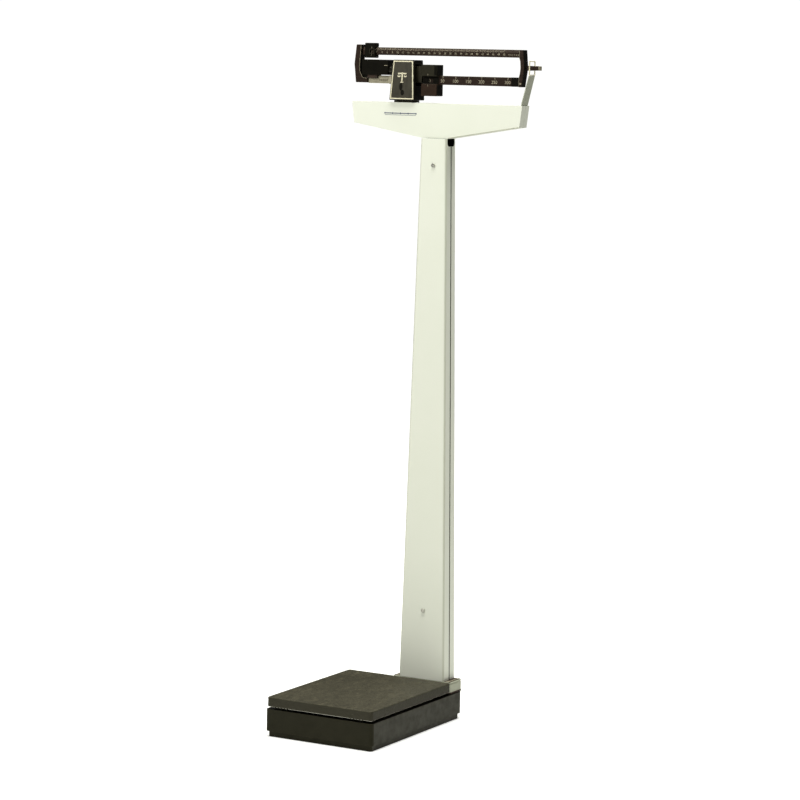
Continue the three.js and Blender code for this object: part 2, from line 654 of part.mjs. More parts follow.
function trigLoop() {
  const y = LOOP_Y.map((edge) => AXIS_Y + edge);
  const window = box([LOOP_X[0] - 1, LOOP_X[1] + 1], [y[0] + LOOP_WIRE, y[1] - LOOP_WIRE],
    [LOOP_Z[0] + LOOP_WIRE, LOOP_Z[1] - LOOP_WIRE]);
  return cut(box(LOOP_X, y, LOOP_Z), window);
}
add('trig_arm', trigArm(), WHITE_ENAMEL);
add('trig_loop', trigLoop(), CHROME);

// ---------- fulcrum stand and its badge cover ----------
function fulcrumStand() {
  const plateZ = [HOUSING_TOP + GAP, COVER_Z[0] - GAP];
  const plate = box([-50, -4], around(AXIS_Y, 17), plateZ);
  const posts = [-1, 1].map((way) => {
    const y = [AXIS_Y + way * 10.5, AXIS_Y + way * 16].sort((a, b) => a - b);
    return box(around(FULCRUM_X, 5), y, [plateZ[0] + 1, FULCRUM_Z + 3]);
  });
  const notch = front(outline([[FULCRUM_X - 4.6, FULCRUM_Z + 4], [FULCRUM_X, FULCRUM_Z - 2.2],
    [FULCRUM_X + 4.6, FULCRUM_Z + 4]]), around(AXIS_Y, 18));
  return cut(join(plate, ...posts), notch, box(LINK_X, around(AXIS_Y, 15), around(plateZ[0], 9)));
}

// The cover's plan at one height, moved inwards by a wall or a margin.
function coverPlan(z, inwards) {
  const share = (z - COVER_Z[0]) / (COVER_Z[1] - COVER_Z[0]);
  const between = (foot, top) => foot.map((low, i) => low + (top[i] - low) * share);
  const x = between(COVER_FOOT.x, COVER_TOP.x);
  const y = between(COVER_FOOT.y, COVER_TOP.y);
  return [
    new THREE.Vector2(x[0] + inwards, y[0] + inwards), new THREE.Vector2(x[1] - inwards, y[0] + inwards),
    new THREE.Vector2(x[1] - inwards, y[1] - inwards), new THREE.Vector2(x[0] + inwards, y[1] - inwards),
  ];
}

function coverBlock(z, inwards) {
  return loft(coverPlan(z[0], inwards), coverPlan(z[1], inwards), z);
}

function fulcrumCover() {
  const hollow = coverBlock([COVER_Z[0] - 1, COVER_Z[1] - COVER_WALL], COVER_WALL);
  const beamWay = box([-80, 20], around(AXIS_Y, 13), [1426, 1474]);
  return cut(coverBlock(COVER_Z, 0), hollow, beamWay);
}

function badgeOutline(margin) {
  const [low, high] = [COVER_Z[0] + margin, COVER_Z[1] - margin];
  const corner = (z, end) => [coverPlan(z, margin)[end].x, z];
  return outline([corner(low, 0), corner(low, 1), corner(high, 1), corner(high, 0)]);
}

function badgeFrame() {
  const y = [COVER_FOOT.y[0] - GAP - BADGE_T, COVER_FOOT.y[0] - GAP];
  const [outer, inner] = BADGE_MARGINS.map(badgeOutline);
  const upright = cut(front(outer, y), front(inner, [y[0] - 1, y[1] + 1]));
  const lean = (COVER_TOP.y[0] - COVER_FOOT.y[0]) / (COVER_Z[1] - COVER_Z[0]);
  return upright.applyMatrix4(new THREE.Matrix4().set(
    1, 0, 0, 0,
    0, 1, lean, -lean * COVER_Z[0],
    0, 0, 1, 0,
    0, 0, 0, 1,
  ));
}

add('fulcrum_stand', fulcrumStand(), CAST_IRON);
add('fulcrum_cover', fulcrumCover(), BLACK_PLASTIC);
add('badge_frame', badgeFrame(), CHROME);

// ---------- beam ----------
function leftPlate() {
  return front(outline([
    [-154.5, 1431.2], [-125, 1431.2], [-125, 1441], [-137, 1443], [-144, 1456], [-145, 1470],
    [-141.5, 1516], [-154, 1516], [-159, 1473],
  ]), END_Y);
}

function rightPlate() {
  const seat = BAR_X[1] + GAP;
  return front(outline([
    [seat, LOWER_BAR_Z[0] - 1], [265, LOWER_BAR_Z[0] - 1], [271, 1471],
    [267.5, UPPER_BAR_Z[1]], [seat, UPPER_BAR_Z[1]], [seat, UPPER_BAR_Z[0]],
    [261, 1485], [262, 1471], [260.5, 1458], [seat, LOWER_BAR_Z[1]],
  ]), END_Y);
}

function upperBar() {
  const [low, high] = UPPER_BAR_Z;
  const bevel = [3, 6];
  return side(outline([
    [BAR_Y[0], low], [BAR_Y[1], low], [BAR_Y[1], high], [BAR_Y[0] + bevel[0], high],
    [BAR_Y[0], high - bevel[1]],
  ]), BAR_X);
}

function lowerBar() {
  return box([LOWER_BAR_START, BAR_X[1]], BAR_Y, LOWER_BAR_Z);
}

// Bare rail under the counterweight box, with the collar that joins it to the beam block.
function leftRail() {
  const collarX = [RAIL_X[1] - 0.6, RAIL_X[1] + 8];
  const collar = box(collarX, around(AXIS_Y, 7), [RAIL_Z[0] - 1, RAIL_Z[1] + 0.5]);
  return join(box(RAIL_X, BAR_Y, RAIL_Z), collar);
}

// Block at the beam's pivot; both knife edges pass through it.
function beamBlock() {
  const body = box([-60.5, LOWER_BAR_START - GAP], around(AXIS_Y, 8), [1434, 1470]);
  const y = around(AXIS_Y, 9);
  return cut(body, front(knifeOutline(FULCRUM_X, true, PIVOT_SEAT), y),
    front(knifeOutline(LOAD_X, false, PIVOT_SEAT), y));
}

// A knife edge's end view; the beam's own edge points down and its load edge points up.
function knifeOutline(x, edgeDown, grow = 0) {
  const half = 2 + grow;
  const reach = 3 + 2 * grow;
  const back = 2 + grow;
  if (edgeDown) {
    const mid = FULCRUM_Z + 1.5;
    return outline([[x, mid - reach], [x + half, mid + back], [x - half, mid + back]]);
  }
  return outline([[x, FULCRUM_Z + reach], [x - half, FULCRUM_Z - back], [x + half, FULCRUM_Z - back]]);
}

// Open-bottomed box; its foot and saddle straddle the rail and carry it.
function counterweightBox() {
  const wall = 3;
  const inside = box([WEIGHT_BOX_X[0] + wall, WEIGHT_BOX_X[1] - wall],
    around(AXIS_Y, WEIGHT_BOX_HALF_D - wall), [WEIGHT_BOX_Z[0] - 1, WEIGHT_BOX_Z[1] - wall]);
  const screwHole = rod('x', [WEIGHT_BOX_X[1] - 2, AXIS_Y, KNOB_Z], KNOB_SCREW_R + 0.6, 8);
  const shell = cut(
    box(WEIGHT_BOX_X, around(AXIS_Y, WEIGHT_BOX_HALF_D), WEIGHT_BOX_Z), inside, screwHole,
  );
  const y = around(AXIS_Y, SADDLE_HALF_D);
  const railEnd = RAIL_X[0] - GAP;
  const foot = box([WEIGHT_BOX_X[0] + 1.5, railEnd], y, [1443.6, 1452]);
  const saddle = cut(
    box([railEnd - 1, SADDLE_END], y, [1441.6, 1450]),
    box([railEnd, SADDLE_END + 1], around(AXIS_Y, BAR_T / 2 + GAP), [RAIL_Z[0], RAIL_Z[1] + GAP]),
  );
  return join(shell, foot, saddle);
}

function zeroKnob() {
  const lobes = 24;
  const rim = new THREE.Shape();
  for (let i = 0; i < lobes * 2; i += 1) {
    const angle = (i * Math.PI) / lobes;
    const radius = i % 2 ? KNOB_R - 0.7 : KNOB_R;
    const point = [AXIS_Y + radius * Math.cos(angle), KNOB_Z + radius * Math.sin(angle)];
    if (i) rim.lineTo(...point);
    else rim.moveTo(...point);
  }
  rim.closePath();
  const screwX = [-129, KNOB_X[0] + 1];
  const middle = (screwX[0] + screwX[1]) / 2;
  const screw = rod('x', [middle, AXIS_Y, KNOB_Z], KNOB_SCREW_R, screwX[1] - screwX[0]);
  return join(side(rim, KNOB_X), screw);
}

function balanceWeight() {
  const body = box(around(WEIGHT_X, 11), around(AXIS_Y, 9.5), [1451.5, 1478]);
  return cut(body, rod('x', [WEIGHT_X, AXIS_Y, KNOB_Z], KNOB_SCREW_R + 0.5, 30));
}

function pointer() {
  const section = (y, z) => [[-y, -z], [y, -z], [y, z], [-y, z]]
    .map(([u, v]) => new THREE.Vector2(u, v));
  const vane = loft(section(4, 5.5), section(3.2, 4.7), POINTER_X)
    .applyMatrix4(TO_SIDE).translate(0, AXIS_Y, POINTER_Z);
  const pinX = [271 + GAP, POINTER_X[0] + 2];
  const middle = (pinX[0] + pinX[1]) / 2;
  const pin = rod('x', [middle, AXIS_Y, POINTER_Z], 1.2, pinX[1] - pinX[0], 10);
  return join(vane, pin);
}

add('beam_left_plate', leftPlate(), BAR_BROWN);
add('beam_right_plate', rightPlate(), BAR_BROWN);
add('upper_bar', upperBar(), BAR_BROWN);
add('lower_bar', lowerBar(), BAR_BROWN);
add('left_rail', leftRail(), STEEL);
add('beam_block', beamBlock(), CAST_IRON);
add('beam_fulcrum_pivot', front(knifeOutline(FULCRUM_X, true), around(AXIS_Y, 16.5)), STEEL);
add('beam_load_pivot', front(knifeOutline(LOAD_X, false), around(AXIS_Y, 14.5)), STEEL);
add('counterweight_box', counterweightBox(), BLACK_PLASTIC);
add('balance_weight', balanceWeight(), CAST_IRON);
add('zero_knob', zeroKnob(), BLACK_PLASTIC);
add('pointer', pointer(), BAR_BROWN);
add('pointer_tip', box(POINTER_TIP_X, around(AXIS_Y, 3.2), around(POINTER_Z, 4.7)), IVORY);

// ---------- poises ----------
function barChannel(x, z) {
  const ends = [x[0] - 1, x[1] + 1];
  return box(ends, [BAR_Y[0] - SLIP, BAR_Y[1] + SLIP], [z[0] - SLIP, z[1] + SLIP]);
}

function smallPoise() {
  const { x, z, halfDepth } = SMALL_POISE;
  const body = box(x, around(AXIS_Y, halfDepth), z);
  const window = box(SMALL_WINDOW.x, [AXIS_Y - halfDepth - 1, AXIS_Y], SMALL_WINDOW.z);
  return cut(body, barChannel(x, UPPER_BAR_Z), window);
}

// Open to the front between its upper and lower block, so that the bar's scale shows.
function largePoise() {
  const { x, z, halfDepth } = LARGE_POISE;
  const body = box(x, around(AXIS_Y, halfDepth), z);
  const window = box([x[0] - 1, x[1] + 1], [AXIS_Y - halfDepth - 1, AXIS_Y],
    [LOWER_BAR_Z[0] + 1.4, LOWER_BAR_Z[1] - 1.4]);
  return cut(body, barChannel(x, LOWER_BAR_Z), window);
}

add('small_poise', smallPoise(), BLACK_PLASTIC);
add('large_poise', largePoise(), CAST_IRON);

export default scale;
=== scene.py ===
"""Looks for the column scale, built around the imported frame. Metres, +Z up, row frame."""
import json
import math

import bmesh
import bpy
import numpy as np
from mathutils import Matrix, Vector, noise

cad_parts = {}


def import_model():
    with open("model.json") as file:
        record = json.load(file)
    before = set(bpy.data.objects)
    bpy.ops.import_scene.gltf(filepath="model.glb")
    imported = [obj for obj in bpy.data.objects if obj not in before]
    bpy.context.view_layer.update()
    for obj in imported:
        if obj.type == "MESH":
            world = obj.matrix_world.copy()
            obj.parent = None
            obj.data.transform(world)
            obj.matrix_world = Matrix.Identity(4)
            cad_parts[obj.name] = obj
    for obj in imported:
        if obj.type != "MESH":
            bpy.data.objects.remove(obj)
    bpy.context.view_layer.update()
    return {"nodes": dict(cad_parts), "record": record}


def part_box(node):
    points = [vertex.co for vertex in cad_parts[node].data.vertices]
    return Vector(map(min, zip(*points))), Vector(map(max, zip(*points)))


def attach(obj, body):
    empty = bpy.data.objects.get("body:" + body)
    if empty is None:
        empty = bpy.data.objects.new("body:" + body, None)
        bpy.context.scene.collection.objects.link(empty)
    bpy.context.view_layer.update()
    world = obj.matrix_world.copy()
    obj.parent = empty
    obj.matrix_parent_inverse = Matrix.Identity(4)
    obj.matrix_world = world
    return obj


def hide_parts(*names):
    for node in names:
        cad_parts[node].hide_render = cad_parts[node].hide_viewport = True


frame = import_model()
MM = 0.001
AXIS_Y = 0.1765  # mid-depth plane of column, housing and beam
BAR_FACE_Y = 0.1725  # front face of both beam bars
SMALLEST_CORNER = 0.0004


# ---------------------------------------------------------------- node materials
class Finish:
    """A Principled material whose colour, roughness and relief come from procedural nodes."""

    def __init__(self, name, **sockets):
        self.material = bpy.data.materials.new(name)
        self.material.use_nodes = True
        self.tree = self.material.node_tree
        self.tree.nodes.clear()
        self.bsdf = self.node("ShaderNodeBsdfPrincipled")
        out = self.node("ShaderNodeOutputMaterial")
        self.join(self.bsdf.outputs["BSDF"], out.inputs["Surface"])
        coords = self.node("ShaderNodeTexCoord")
        self.place = coords.outputs["Object"]
        self.normal = coords.outputs["Normal"]
        self.relief = None
        for socket, value in sockets.items():
            self.bsdf.inputs[socket.replace("_", " ")].default_value = value

    def node(self, kind, **settings):
        made = self.tree.nodes.new(kind)
        for key, value in settings.items():
            setattr(made, key, value)
        return made

    def join(self, source, target):
        self.tree.links.new(source, target)

    def feed(self, socket, value):
        """Link a node output, or set a plain number or colour."""
        if isinstance(value, bpy.types.NodeSocket):
            self.join(value, socket)
        elif isinstance(value, tuple) and len(value) == 3:
            socket.default_value = (*value, 1.0)
        else:
            socket.default_value = value

    def noise(self, scale, detail=2.0, stretch=(1, 1, 1), rough=0.5):
        mapping = self.node("ShaderNodeMapping")
        mapping.inputs["Scale"].default_value = stretch
        self.join(self.place, mapping.inputs["Vector"])
        made = self.node("ShaderNodeTexNoise")
        made.inputs["Scale"].default_value = scale
        made.inputs["Detail"].default_value = detail
        made.inputs["Roughness"].default_value = rough
        self.join(mapping.outputs["Vector"], made.inputs["Vector"])
        return made.outputs["Fac"]

    def cells(self, scale, feature="F1"):
        made = self.node("ShaderNodeTexVoronoi", feature=feature)
        made.inputs["Scale"].default_value = scale
        self.join(self.place, made.inputs["Vector"])
        return made.outputs["Distance"]

    def span(self, value, low, high, to_low=0.0, to_high=1.0):
        made = self.node("ShaderNodeMapRange")
        made.inputs["From Min"].default_value = low
        made.inputs["From Max"].default_value = high
        made.inputs["To Min"].default_value = to_low
        made.inputs["To Max"].default_value = to_high
        self.join(value, made.inputs["Value"])
        return made.outputs["Result"]

    def spread(self, noise_value, to_low=0.0, to_high=1.0):
        """Stretch a noise, which stays near its middle, over the whole range given."""
        return self.span(noise_value, 0.3, 0.7, to_low, to_high)

    def mix(self, share, first, second):
        made = self.node("ShaderNodeMix", data_type="RGBA")
        self.feed(made.inputs["Factor"], share)
        self.feed(made.inputs[6], first)
        self.feed(made.inputs[7], second)
        return made.outputs[2]

    def math(self, operation, first, second=0.0):
        made = self.node("ShaderNodeMath", operation=operation)
        self.feed(made.inputs[0], first)
        self.feed(made.inputs[1], second)
        return made.outputs[0]

    def bump(self, height, distance, strength=1.0):
        made = self.node("ShaderNodeBump")
        made.inputs["Strength"].default_value = strength
        made.inputs["Distance"].default_value = distance
        self.join(height, made.inputs["Height"])
        if self.relief is not None:
            self.join(self.relief, made.inputs["Normal"])
        self.relief = made.outputs["Normal"]
        self.join(self.relief, self.bsdf.inputs["Normal"])

    def colour(self, value):
        self.feed(self.bsdf.inputs["Base Color"], value)

    def roughness(self, value):
        self.feed(self.bsdf.inputs["Roughness"], value)

    def component(self, vector, axis):
        split = self.node("ShaderNodeSeparateXYZ")
        self.join(vector, split.inputs[0])
        return split.outputs[axis]

    def worn_edges(self, radius, low=0.02, high=0.25):
        """1 on edges, 0 on flats, from how far a rounded normal leans from the true one. Edges
        lightened with it are partly wear and partly painted highlight.
        """
        soft = self.node("ShaderNodeBevel", samples=4)
        soft.inputs["Radius"].default_value = radius
        true = self.node("ShaderNodeNewGeometry")
        dot = self.node("ShaderNodeVectorMath", operation="DOT_PRODUCT")
        self.join(soft.outputs[0], dot.inputs[0])
        self.join(true.outputs["Normal"], dot.inputs[1])
        lean = self.math("SUBTRACT", 1.0, dot.outputs["Value"])
        return self.span(lean, low, high)


def corner_share(f):
    """How far a normal lies between front and side: 0 on flats, 1 on a fold."""
    both = f.math("MULTIPLY", f.component(f.normal, "X"), f.component(f.normal, "Y"))
    return f.span(f.math("ABSOLUTE", both), 0.12, 0.45)


def white_enamel():
    f = Finish("white_enamel", IOR=1.45, Coat_Weight=0.15, Coat_Roughness=0.25)
    tone = f.spread(f.noise(5, 3))
    warm = f.mix(tone, (0.80, 0.825, 0.735), (0.83, 0.85, 0.77))
    dust = f.span(f.noise(160, 4, rough=0.7), 0.62, 0.82, 0, 0.10)
    # The rounded folds between front and side are darkened: painted shade.
    folded = f.math("MULTIPLY", corner_share(f), 0.6)
    f.colour(f.mix(folded, f.mix(dust, warm, (0.55, 0.55, 0.45)), (0.42, 0.43, 0.33)))
    f.roughness(f.spread(f.noise(60, 3), 0.38, 0.50))
    f.bump(f.noise(420, 2), 0.00025, 0.35)
    f.bump(f.noise(28, 2), 0.0012, 0.10)
    return f.material


def plinth_enamel():
    f = Finish("plinth_enamel", IOR=1.4)
    tone = f.spread(f.noise(22, 4))
    warm = f.mix(tone, (0.36, 0.375, 0.29), (0.44, 0.455, 0.36))
    # Lighter edges all round: painted edge highlight.
    edges = f.math("MULTIPLY", f.worn_edges(0.0012), 0.5)
    f.colour(f.mix(edges, warm, (0.66, 0.65, 0.52)))
    f.roughness(f.spread(f.noise(80, 3), 0.42, 0.58))
    f.bump(f.noise(420, 2), 0.00025, 0.35)
    return f.material


def black_enamel():
    f = Finish("black_enamel", IOR=1.34, Specular_Tint=(1.0, 0.96, 0.66, 1.0))
    tone = f.spread(f.noise(14, 4))
    base = f.mix(tone, (0.0018, 0.0016, 0.0007), (0.0038, 0.0033, 0.0016))
    # Lighter edges broken up by noise: partly chipped wear, partly painted edge highlight.
    edges = f.worn_edges(0.0016)
    chips_and_edge_highlight = f.math("MULTIPLY", edges, f.span(f.noise(90, 3), 0.35, 0.6, 0.15, 0.8))
    dust = f.span(f.noise(240, 4, rough=0.75), 0.6, 0.85, 0, 0.10)
    f.colour(f.mix(dust, f.mix(chips_and_edge_highlight, base, (0.045, 0.039, 0.023)), (0.05, 0.044, 0.027)))
    f.roughness(f.spread(f.noise(70, 3), 0.36, 0.52))
    f.bump(f.noise(520, 3), 0.0003, 0.45)
    return f.material


def rust_enamel():
    f = Finish("rust_enamel", IOR=1.4)
    tone = f.spread(f.noise(120, 4))
    f.colour(f.mix(tone, (0.022, 0.012, 0.007), (0.050, 0.026, 0.015)))
    f.roughness(f.spread(f.noise(200, 3), 0.45, 0.65))
    f.bump(f.noise(500, 2), 0.0002, 0.3)
    return f.material


def rubber():
    f = Finish("rubber", IOR=1.42, Specular_Tint=(1.0, 0.97, 0.80, 1.0))
    grain = f.noise(900, 4, rough=0.7)
    tone = f.spread(f.noise(9, 4))
    base = f.mix(tone, (0.036, 0.033, 0.021), (0.056, 0.051, 0.033))
    scuffs = f.span(f.noise(60, 5, (1, 0.35, 1), 0.8), 0.50, 0.72, 0, 0.7)
    lit = f.mix(scuffs, base, (0.120, 0.107, 0.071))
    pits = f.span(f.noise(150, 4, rough=0.8), 0.36, 0.56, 0.9, 0)
    # The side faces take a darker colour than the top: painted shade.
    upward = f.span(f.component(f.normal, "Z"), 0.15, 0.75)
    f.colour(f.mix(upward, (0.0205, 0.0185, 0.0115), f.mix(pits, lit, (0.012, 0.0105, 0.006))))
    f.roughness(f.spread(grain, 0.50, 0.70))
    f.bump(grain, 0.0004, 0.6)
    return f.material


def cast_iron():
    f = Finish("cast_iron", IOR=1.34, Specular_Tint=(1.0, 0.95, 0.8, 1.0))
    grain = f.noise(380, 4, rough=0.65)
    tone = f.spread(f.noise(35, 3))
    base = f.mix(tone, (0.0085, 0.0076, 0.0040), (0.0150, 0.0134, 0.0074))
    # Lighter edges all round: painted edge highlight.
    edges = f.math("MULTIPLY", f.worn_edges(0.0012), 0.35)
    f.colour(f.mix(edges, base, (0.075, 0.066, 0.045)))
    f.roughness(f.spread(grain, 0.36, 0.56))
    f.bump(grain, 0.0005, 0.55)
    f.bump(f.cells(260), 0.0003, 0.3)
    return f.material


def poise_iron():
    """The large poise: olive black above the bar, brown black below it, a painted reflection."""
    f = Finish("poise_iron", IOR=1.32, Specular_Tint=(1.0, 0.95, 0.8, 1.0))
    grain = f.noise(420, 4, rough=0.65)
    tone = f.spread(f.noise(55, 3))
    above = f.mix(tone, (0.0090, 0.0080, 0.0042), (0.0150, 0.0135, 0.0074))
    below = f.mix(tone, (0.0135, 0.0058, 0.0034), (0.0230, 0.0104, 0.0062))
    # Lighter edges all round: painted edge highlight.
    edges = f.math("MULTIPLY", f.worn_edges(0.0012), 0.3)
    # The split by height between olive and brown is a painted reflection.
    mixed = f.mix(f.span(f.component(f.place, "Z"), 1.434, 1.444), below, above)
    f.colour(f.mix(edges, mixed, (0.070, 0.058, 0.040)))
    f.roughness(f.spread(grain, 0.34, 0.52))
    f.bump(grain, 0.0004, 0.5)
    return f.material


def steel():
    f = Finish("steel", Metallic=1.0)
    brush = f.noise(300, 3, (6, 6, 0.4))
    tone = f.spread(f.noise(18, 3))
    f.colour(f.mix(tone, (0.50, 0.495, 0.45), (0.64, 0.635, 0.58)))
    f.roughness(f.spread(brush, 0.24, 0.44))
    f.bump(brush, 0.0001, 0.4)
    return f.material


def rail_satin():
    f = Finish("rail_satin", Metallic=0.35, IOR=1.45)
    brush = f.noise(260, 3, (0.15, 4, 4))
    tone = f.spread(f.noise(60, 3))
    f.colour(f.mix(tone, (0.34, 0.31, 0.225), (0.47, 0.435, 0.325)))
    f.roughness(f.spread(brush, 0.34, 0.55))
    f.bump(brush, 0.0001, 0.4)
    return f.material


def bar_enamel():
    f = Finish("bar_enamel", IOR=1.32, Specular_Tint=(1.0, 0.88, 0.78, 1.0))
    streaks = f.noise(220, 4, (0.12, 1, 1))
    tone = f.spread(streaks)
    base = f.mix(tone, (0.0110, 0.0056, 0.0036), (0.0200, 0.0108, 0.0072))
    # Lighter edges all round: painted edge highlight.
    edges = f.math("MULTIPLY", f.worn_edges(0.0009), 0.5)
    f.colour(f.mix(edges, base, (0.16, 0.14, 0.09)))
    f.roughness(f.spread(streaks, 0.34, 0.52))
    f.bump(streaks, 0.00015, 0.4)
    return f.material


def black_plastic():
    f = Finish("black_plastic", IOR=1.27, Specular_Tint=(1.0, 0.95, 0.8, 1.0))
    grain = f.noise(1100, 3, rough=0.6)
    tone = f.spread(f.noise(40, 3))
    base = f.mix(tone, (0.0016, 0.0014, 0.0008), (0.0034, 0.0030, 0.0019))
    # Lighter edges all round: painted edge highlight.
    edges = f.math("MULTIPLY", f.worn_edges(0.001), 0.3)
    f.colour(f.mix(edges, base, (0.034, 0.031, 0.021)))
    f.roughness(f.spread(grain, 0.26, 0.40))
    f.bump(grain, 0.00015, 0.45)
    return f.material


def notch_black():
    # Flat black for the plates inside the column's notches: painted shade.
    f = Finish("notch_black", IOR=1.05)
    shade_tone = f.spread(f.noise(90, 3))
    f.colour(f.mix(shade_tone, (0.0008, 0.0008, 0.0005), (0.0022, 0.0020, 0.0013)))
    f.roughness(f.spread(f.noise(220, 2), 0.7, 0.9))
    f.bump(f.noise(500, 2), 0.0002, 0.4)
    return f.material


def arm_enamel():
    """The pointer's arm: grey-green all over, a painted shade on white enamel, with a hammered
    relief.
    """
    f = Finish("arm_enamel", IOR=1.42)
    tone = f.spread(f.noise(70, 4))
    f.colour(f.mix(tone, (0.45, 0.47, 0.385), (0.535, 0.555, 0.465)))
    f.roughness(f.spread(f.noise(160, 3), 0.40, 0.56))
    f.bump(f.noise(420, 2), 0.00025, 0.35)
    return f.material


def ivory_plastic():
    f = Finish("ivory_plastic", IOR=1.46)
    tone = f.spread(f.noise(120, 4))
    f.colour(f.mix(tone, (0.62, 0.57, 0.41), (0.74, 0.70, 0.52)))
    f.roughness(f.spread(f.noise(300, 3), 0.38, 0.55))
    f.bump(f.noise(700, 2), 0.0001, 0.3)
    return f.material


def cream_print():
    f = Finish("cream_print", IOR=1.46)
    wear = f.span(f.noise(700, 4, rough=0.7), 0.35, 0.7)
    f.colour(f.mix(wear, (0.26, 0.225, 0.155), (0.44, 0.40, 0.30)))
    f.roughness(f.spread(f.noise(400, 2), 0.45, 0.65))
    f.bump(f.noise(900, 2), 0.00005, 0.3)
    return f.material


def worn_print():
    f = Finish("worn_print", IOR=1.4)
    wear = f.span(f.noise(260, 4, rough=0.75), 0.35, 0.65)
    f.colour(f.mix(wear, (0.075, 0.058, 0.038), (0.26, 0.235, 0.165)))
    f.roughness(f.spread(f.noise(400, 2), 0.45, 0.65))
    f.bump(f.noise(900, 2), 0.00005, 0.3)
    return f.material


def badge_lacquer():
    f = Finish("badge_lacquer", IOR=1.42, Coat_Weight=0.3, Coat_Roughness=0.15)
    streak = f.noise(240, 3, (1, 1, 0.15))
    f.colour(f.mix(f.spread(streak), (0.022, 0.019, 0.0105), (0.036, 0.031, 0.018)))
    f.roughness(f.spread(f.noise(160, 3), 0.34, 0.46))
    f.bump(streak, 0.0001, 0.25)
    return f.material


def blue_print():
    f = Finish("blue_print", IOR=1.46)
    f.colour(f.mix(f.spread(f.noise(500, 3)), (0.020, 0.035, 0.10), (0.04, 0.06, 0.14)))
    f.roughness(f.spread(f.noise(300, 2), 0.4, 0.6))
    f.bump(f.noise(800, 2), 0.00005, 0.3)
    return f.material


MATERIALS = {
    "white_enamel": white_enamel(),
    "black_enamel": black_enamel(),
    "plinth_enamel": plinth_enamel(),
    "rust_enamel": rust_enamel(),
    "rail_satin": rail_satin(),
    "poise_iron": poise_iron(),
    "rubber": rubber(),
    "cast_iron": cast_iron(),
    "steel": steel(),
    "bar_enamel": bar_enamel(),
    "black_plastic": black_plastic(),
    "notch_black": notch_black(),
    "arm_enamel": arm_enamel(),
    "ivory_plastic": ivory_plastic(),
    "cream_print": cream_print(),
    "worn_print": worn_print(),
    "badge_lacquer": badge_lacquer(),
    "blue_print": blue_print(),
}


# ---------------------------------------------------------------- pieces
def piece(name, shape, material, body, slot, smooth=True, bevel=0.0):
    """A new mesh in the row frame that rides on a body. shape is (vertices, faces)."""
    verts, faces = shape
    mesh = bpy.data.meshes.new(name)
    mesh.from_pydata([tuple(v) for v in verts], [], faces)
    shell = bmesh.new()
    shell.from_mesh(mesh)
    bmesh.ops.recalc_face_normals(shell, faces=shell.faces)
    shell.to_mesh(mesh)
    shell.free()
    mesh.polygons.foreach_set("use_smooth", [smooth] * len(mesh.polygons))
    mesh.materials.append(MATERIALS[material])
    made = bpy.data.objects.new(name, mesh)
    bpy.context.scene.collection.objects.link(made)
    if bevel:
        round_edges(made, bevel)
    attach(made, body)
    return made


def round_edges(obj, width, segments=2, angle=35):
    bevel = obj.modifiers.new("edges", "BEVEL")
    bevel.width = width
    bevel.segments = segments
    bevel.limit_method = "ANGLE"
    bevel.angle_limit = math.radians(angle)
    bevel.use_clamp_overlap = True
    weighted = obj.modifiers.new("shading", "WEIGHTED_NORMAL")
    weighted.keep_sharp = True


def prism(outline, y0, y1):
    """Front outline (x, z) carried from y0 to y1."""
    n = len(outline)
    verts = [(x, y0, z) for x, z in outline] + [(x, y1, z) for x, z in outline]
    faces = [tuple(range(n)), tuple(range(2 * n - 1, n - 1, -1))]
    faces += [(i, (i + 1) % n, n + (i + 1) % n, n + i) for i in range(n)]
    return verts, faces


def block(x, y, z):
    return prism([(x[0], z[0]), (x[1], z[0]), (x[1], z[1]), (x[0], z[1])], y[0], y[1])


def merged(parts):
    verts, faces = [], []
    for part_verts, part_faces in parts:
        offset = len(verts)
        verts += list(part_verts)
        faces += [tuple(i + offset for i in face) for face in part_faces]
    return verts, faces


def ribbon(path, thick, y0, y1):
    """A strip of even thickness along a front path (x, z), on the path's left side."""
    left = []
    for i, (x, z) in enumerate(path):
        a = Vector(path[max(i - 1, 0)])
        b = Vector(path[min(i + 1, len(path) - 1)])
        along = (b - a).normalized()
        left.append((x - along.y * thick, z + along.x * thick))
    return prism(list(path) + left[::-1], y0, y1)


def rounded_rect(x, y, r, corner, step):
    """Points round a rounded rectangle whose sides are cut into step = (x count, y count)."""
    nx, ny = step
    r = max(r, SMALLEST_CORNER)
    corners = [
        (x[1] - r, y[0] + r, -math.pi / 2), (x[1] - r, y[1] - r, 0),
        (x[0] + r, y[1] - r, math.pi / 2), (x[0] + r, y[0] + r, math.pi),
    ]
    points = []
    for k, (cx, cy, start) in enumerate(corners):
        for i in range(corner + 1):
            angle = start + (math.pi / 2) * i / corner
            points.append((cx + r * math.cos(angle), cy + r * math.sin(angle)))
        after = corners[(k + 1) % 4]
        last = points[-1]
        first = (after[0] + r * math.cos(after[2]), after[1] + r * math.sin(after[2]))
        count = ny if k % 2 == 0 else nx
        for i in range(1, count):
            t = i / count
            points.append((
                last[0] + (first[0] - last[0]) * t,
                last[1] + (first[1] - last[1]) * t,
            ))
    return points


def ring_loft(x, y, r, profile, step=(6, 6), corner=8, closed=False):
    """Rounded-rectangle rings stacked along a profile of (inset, z)."""
    verts, faces = [], []
    for inset, z in profile:
        ring = rounded_rect(
            (x[0] + inset, x[1] - inset), (y[0] + inset, y[1] - inset), r - inset, corner, step
        )
        n = len(ring)
        verts += [(px, py, z) for px, py in ring]
    rows = len(profile)
    for k in range(rows if closed else rows - 1):
        a, b = k * n, ((k + 1) % rows) * n
        faces += [(a + i, a + (i + 1) % n, b + (i + 1) % n, b + i) for i in range(n)]
    if not closed:
        faces += [tuple(range(n)), tuple(range((rows - 1) * n, rows * n))]
    return verts, faces


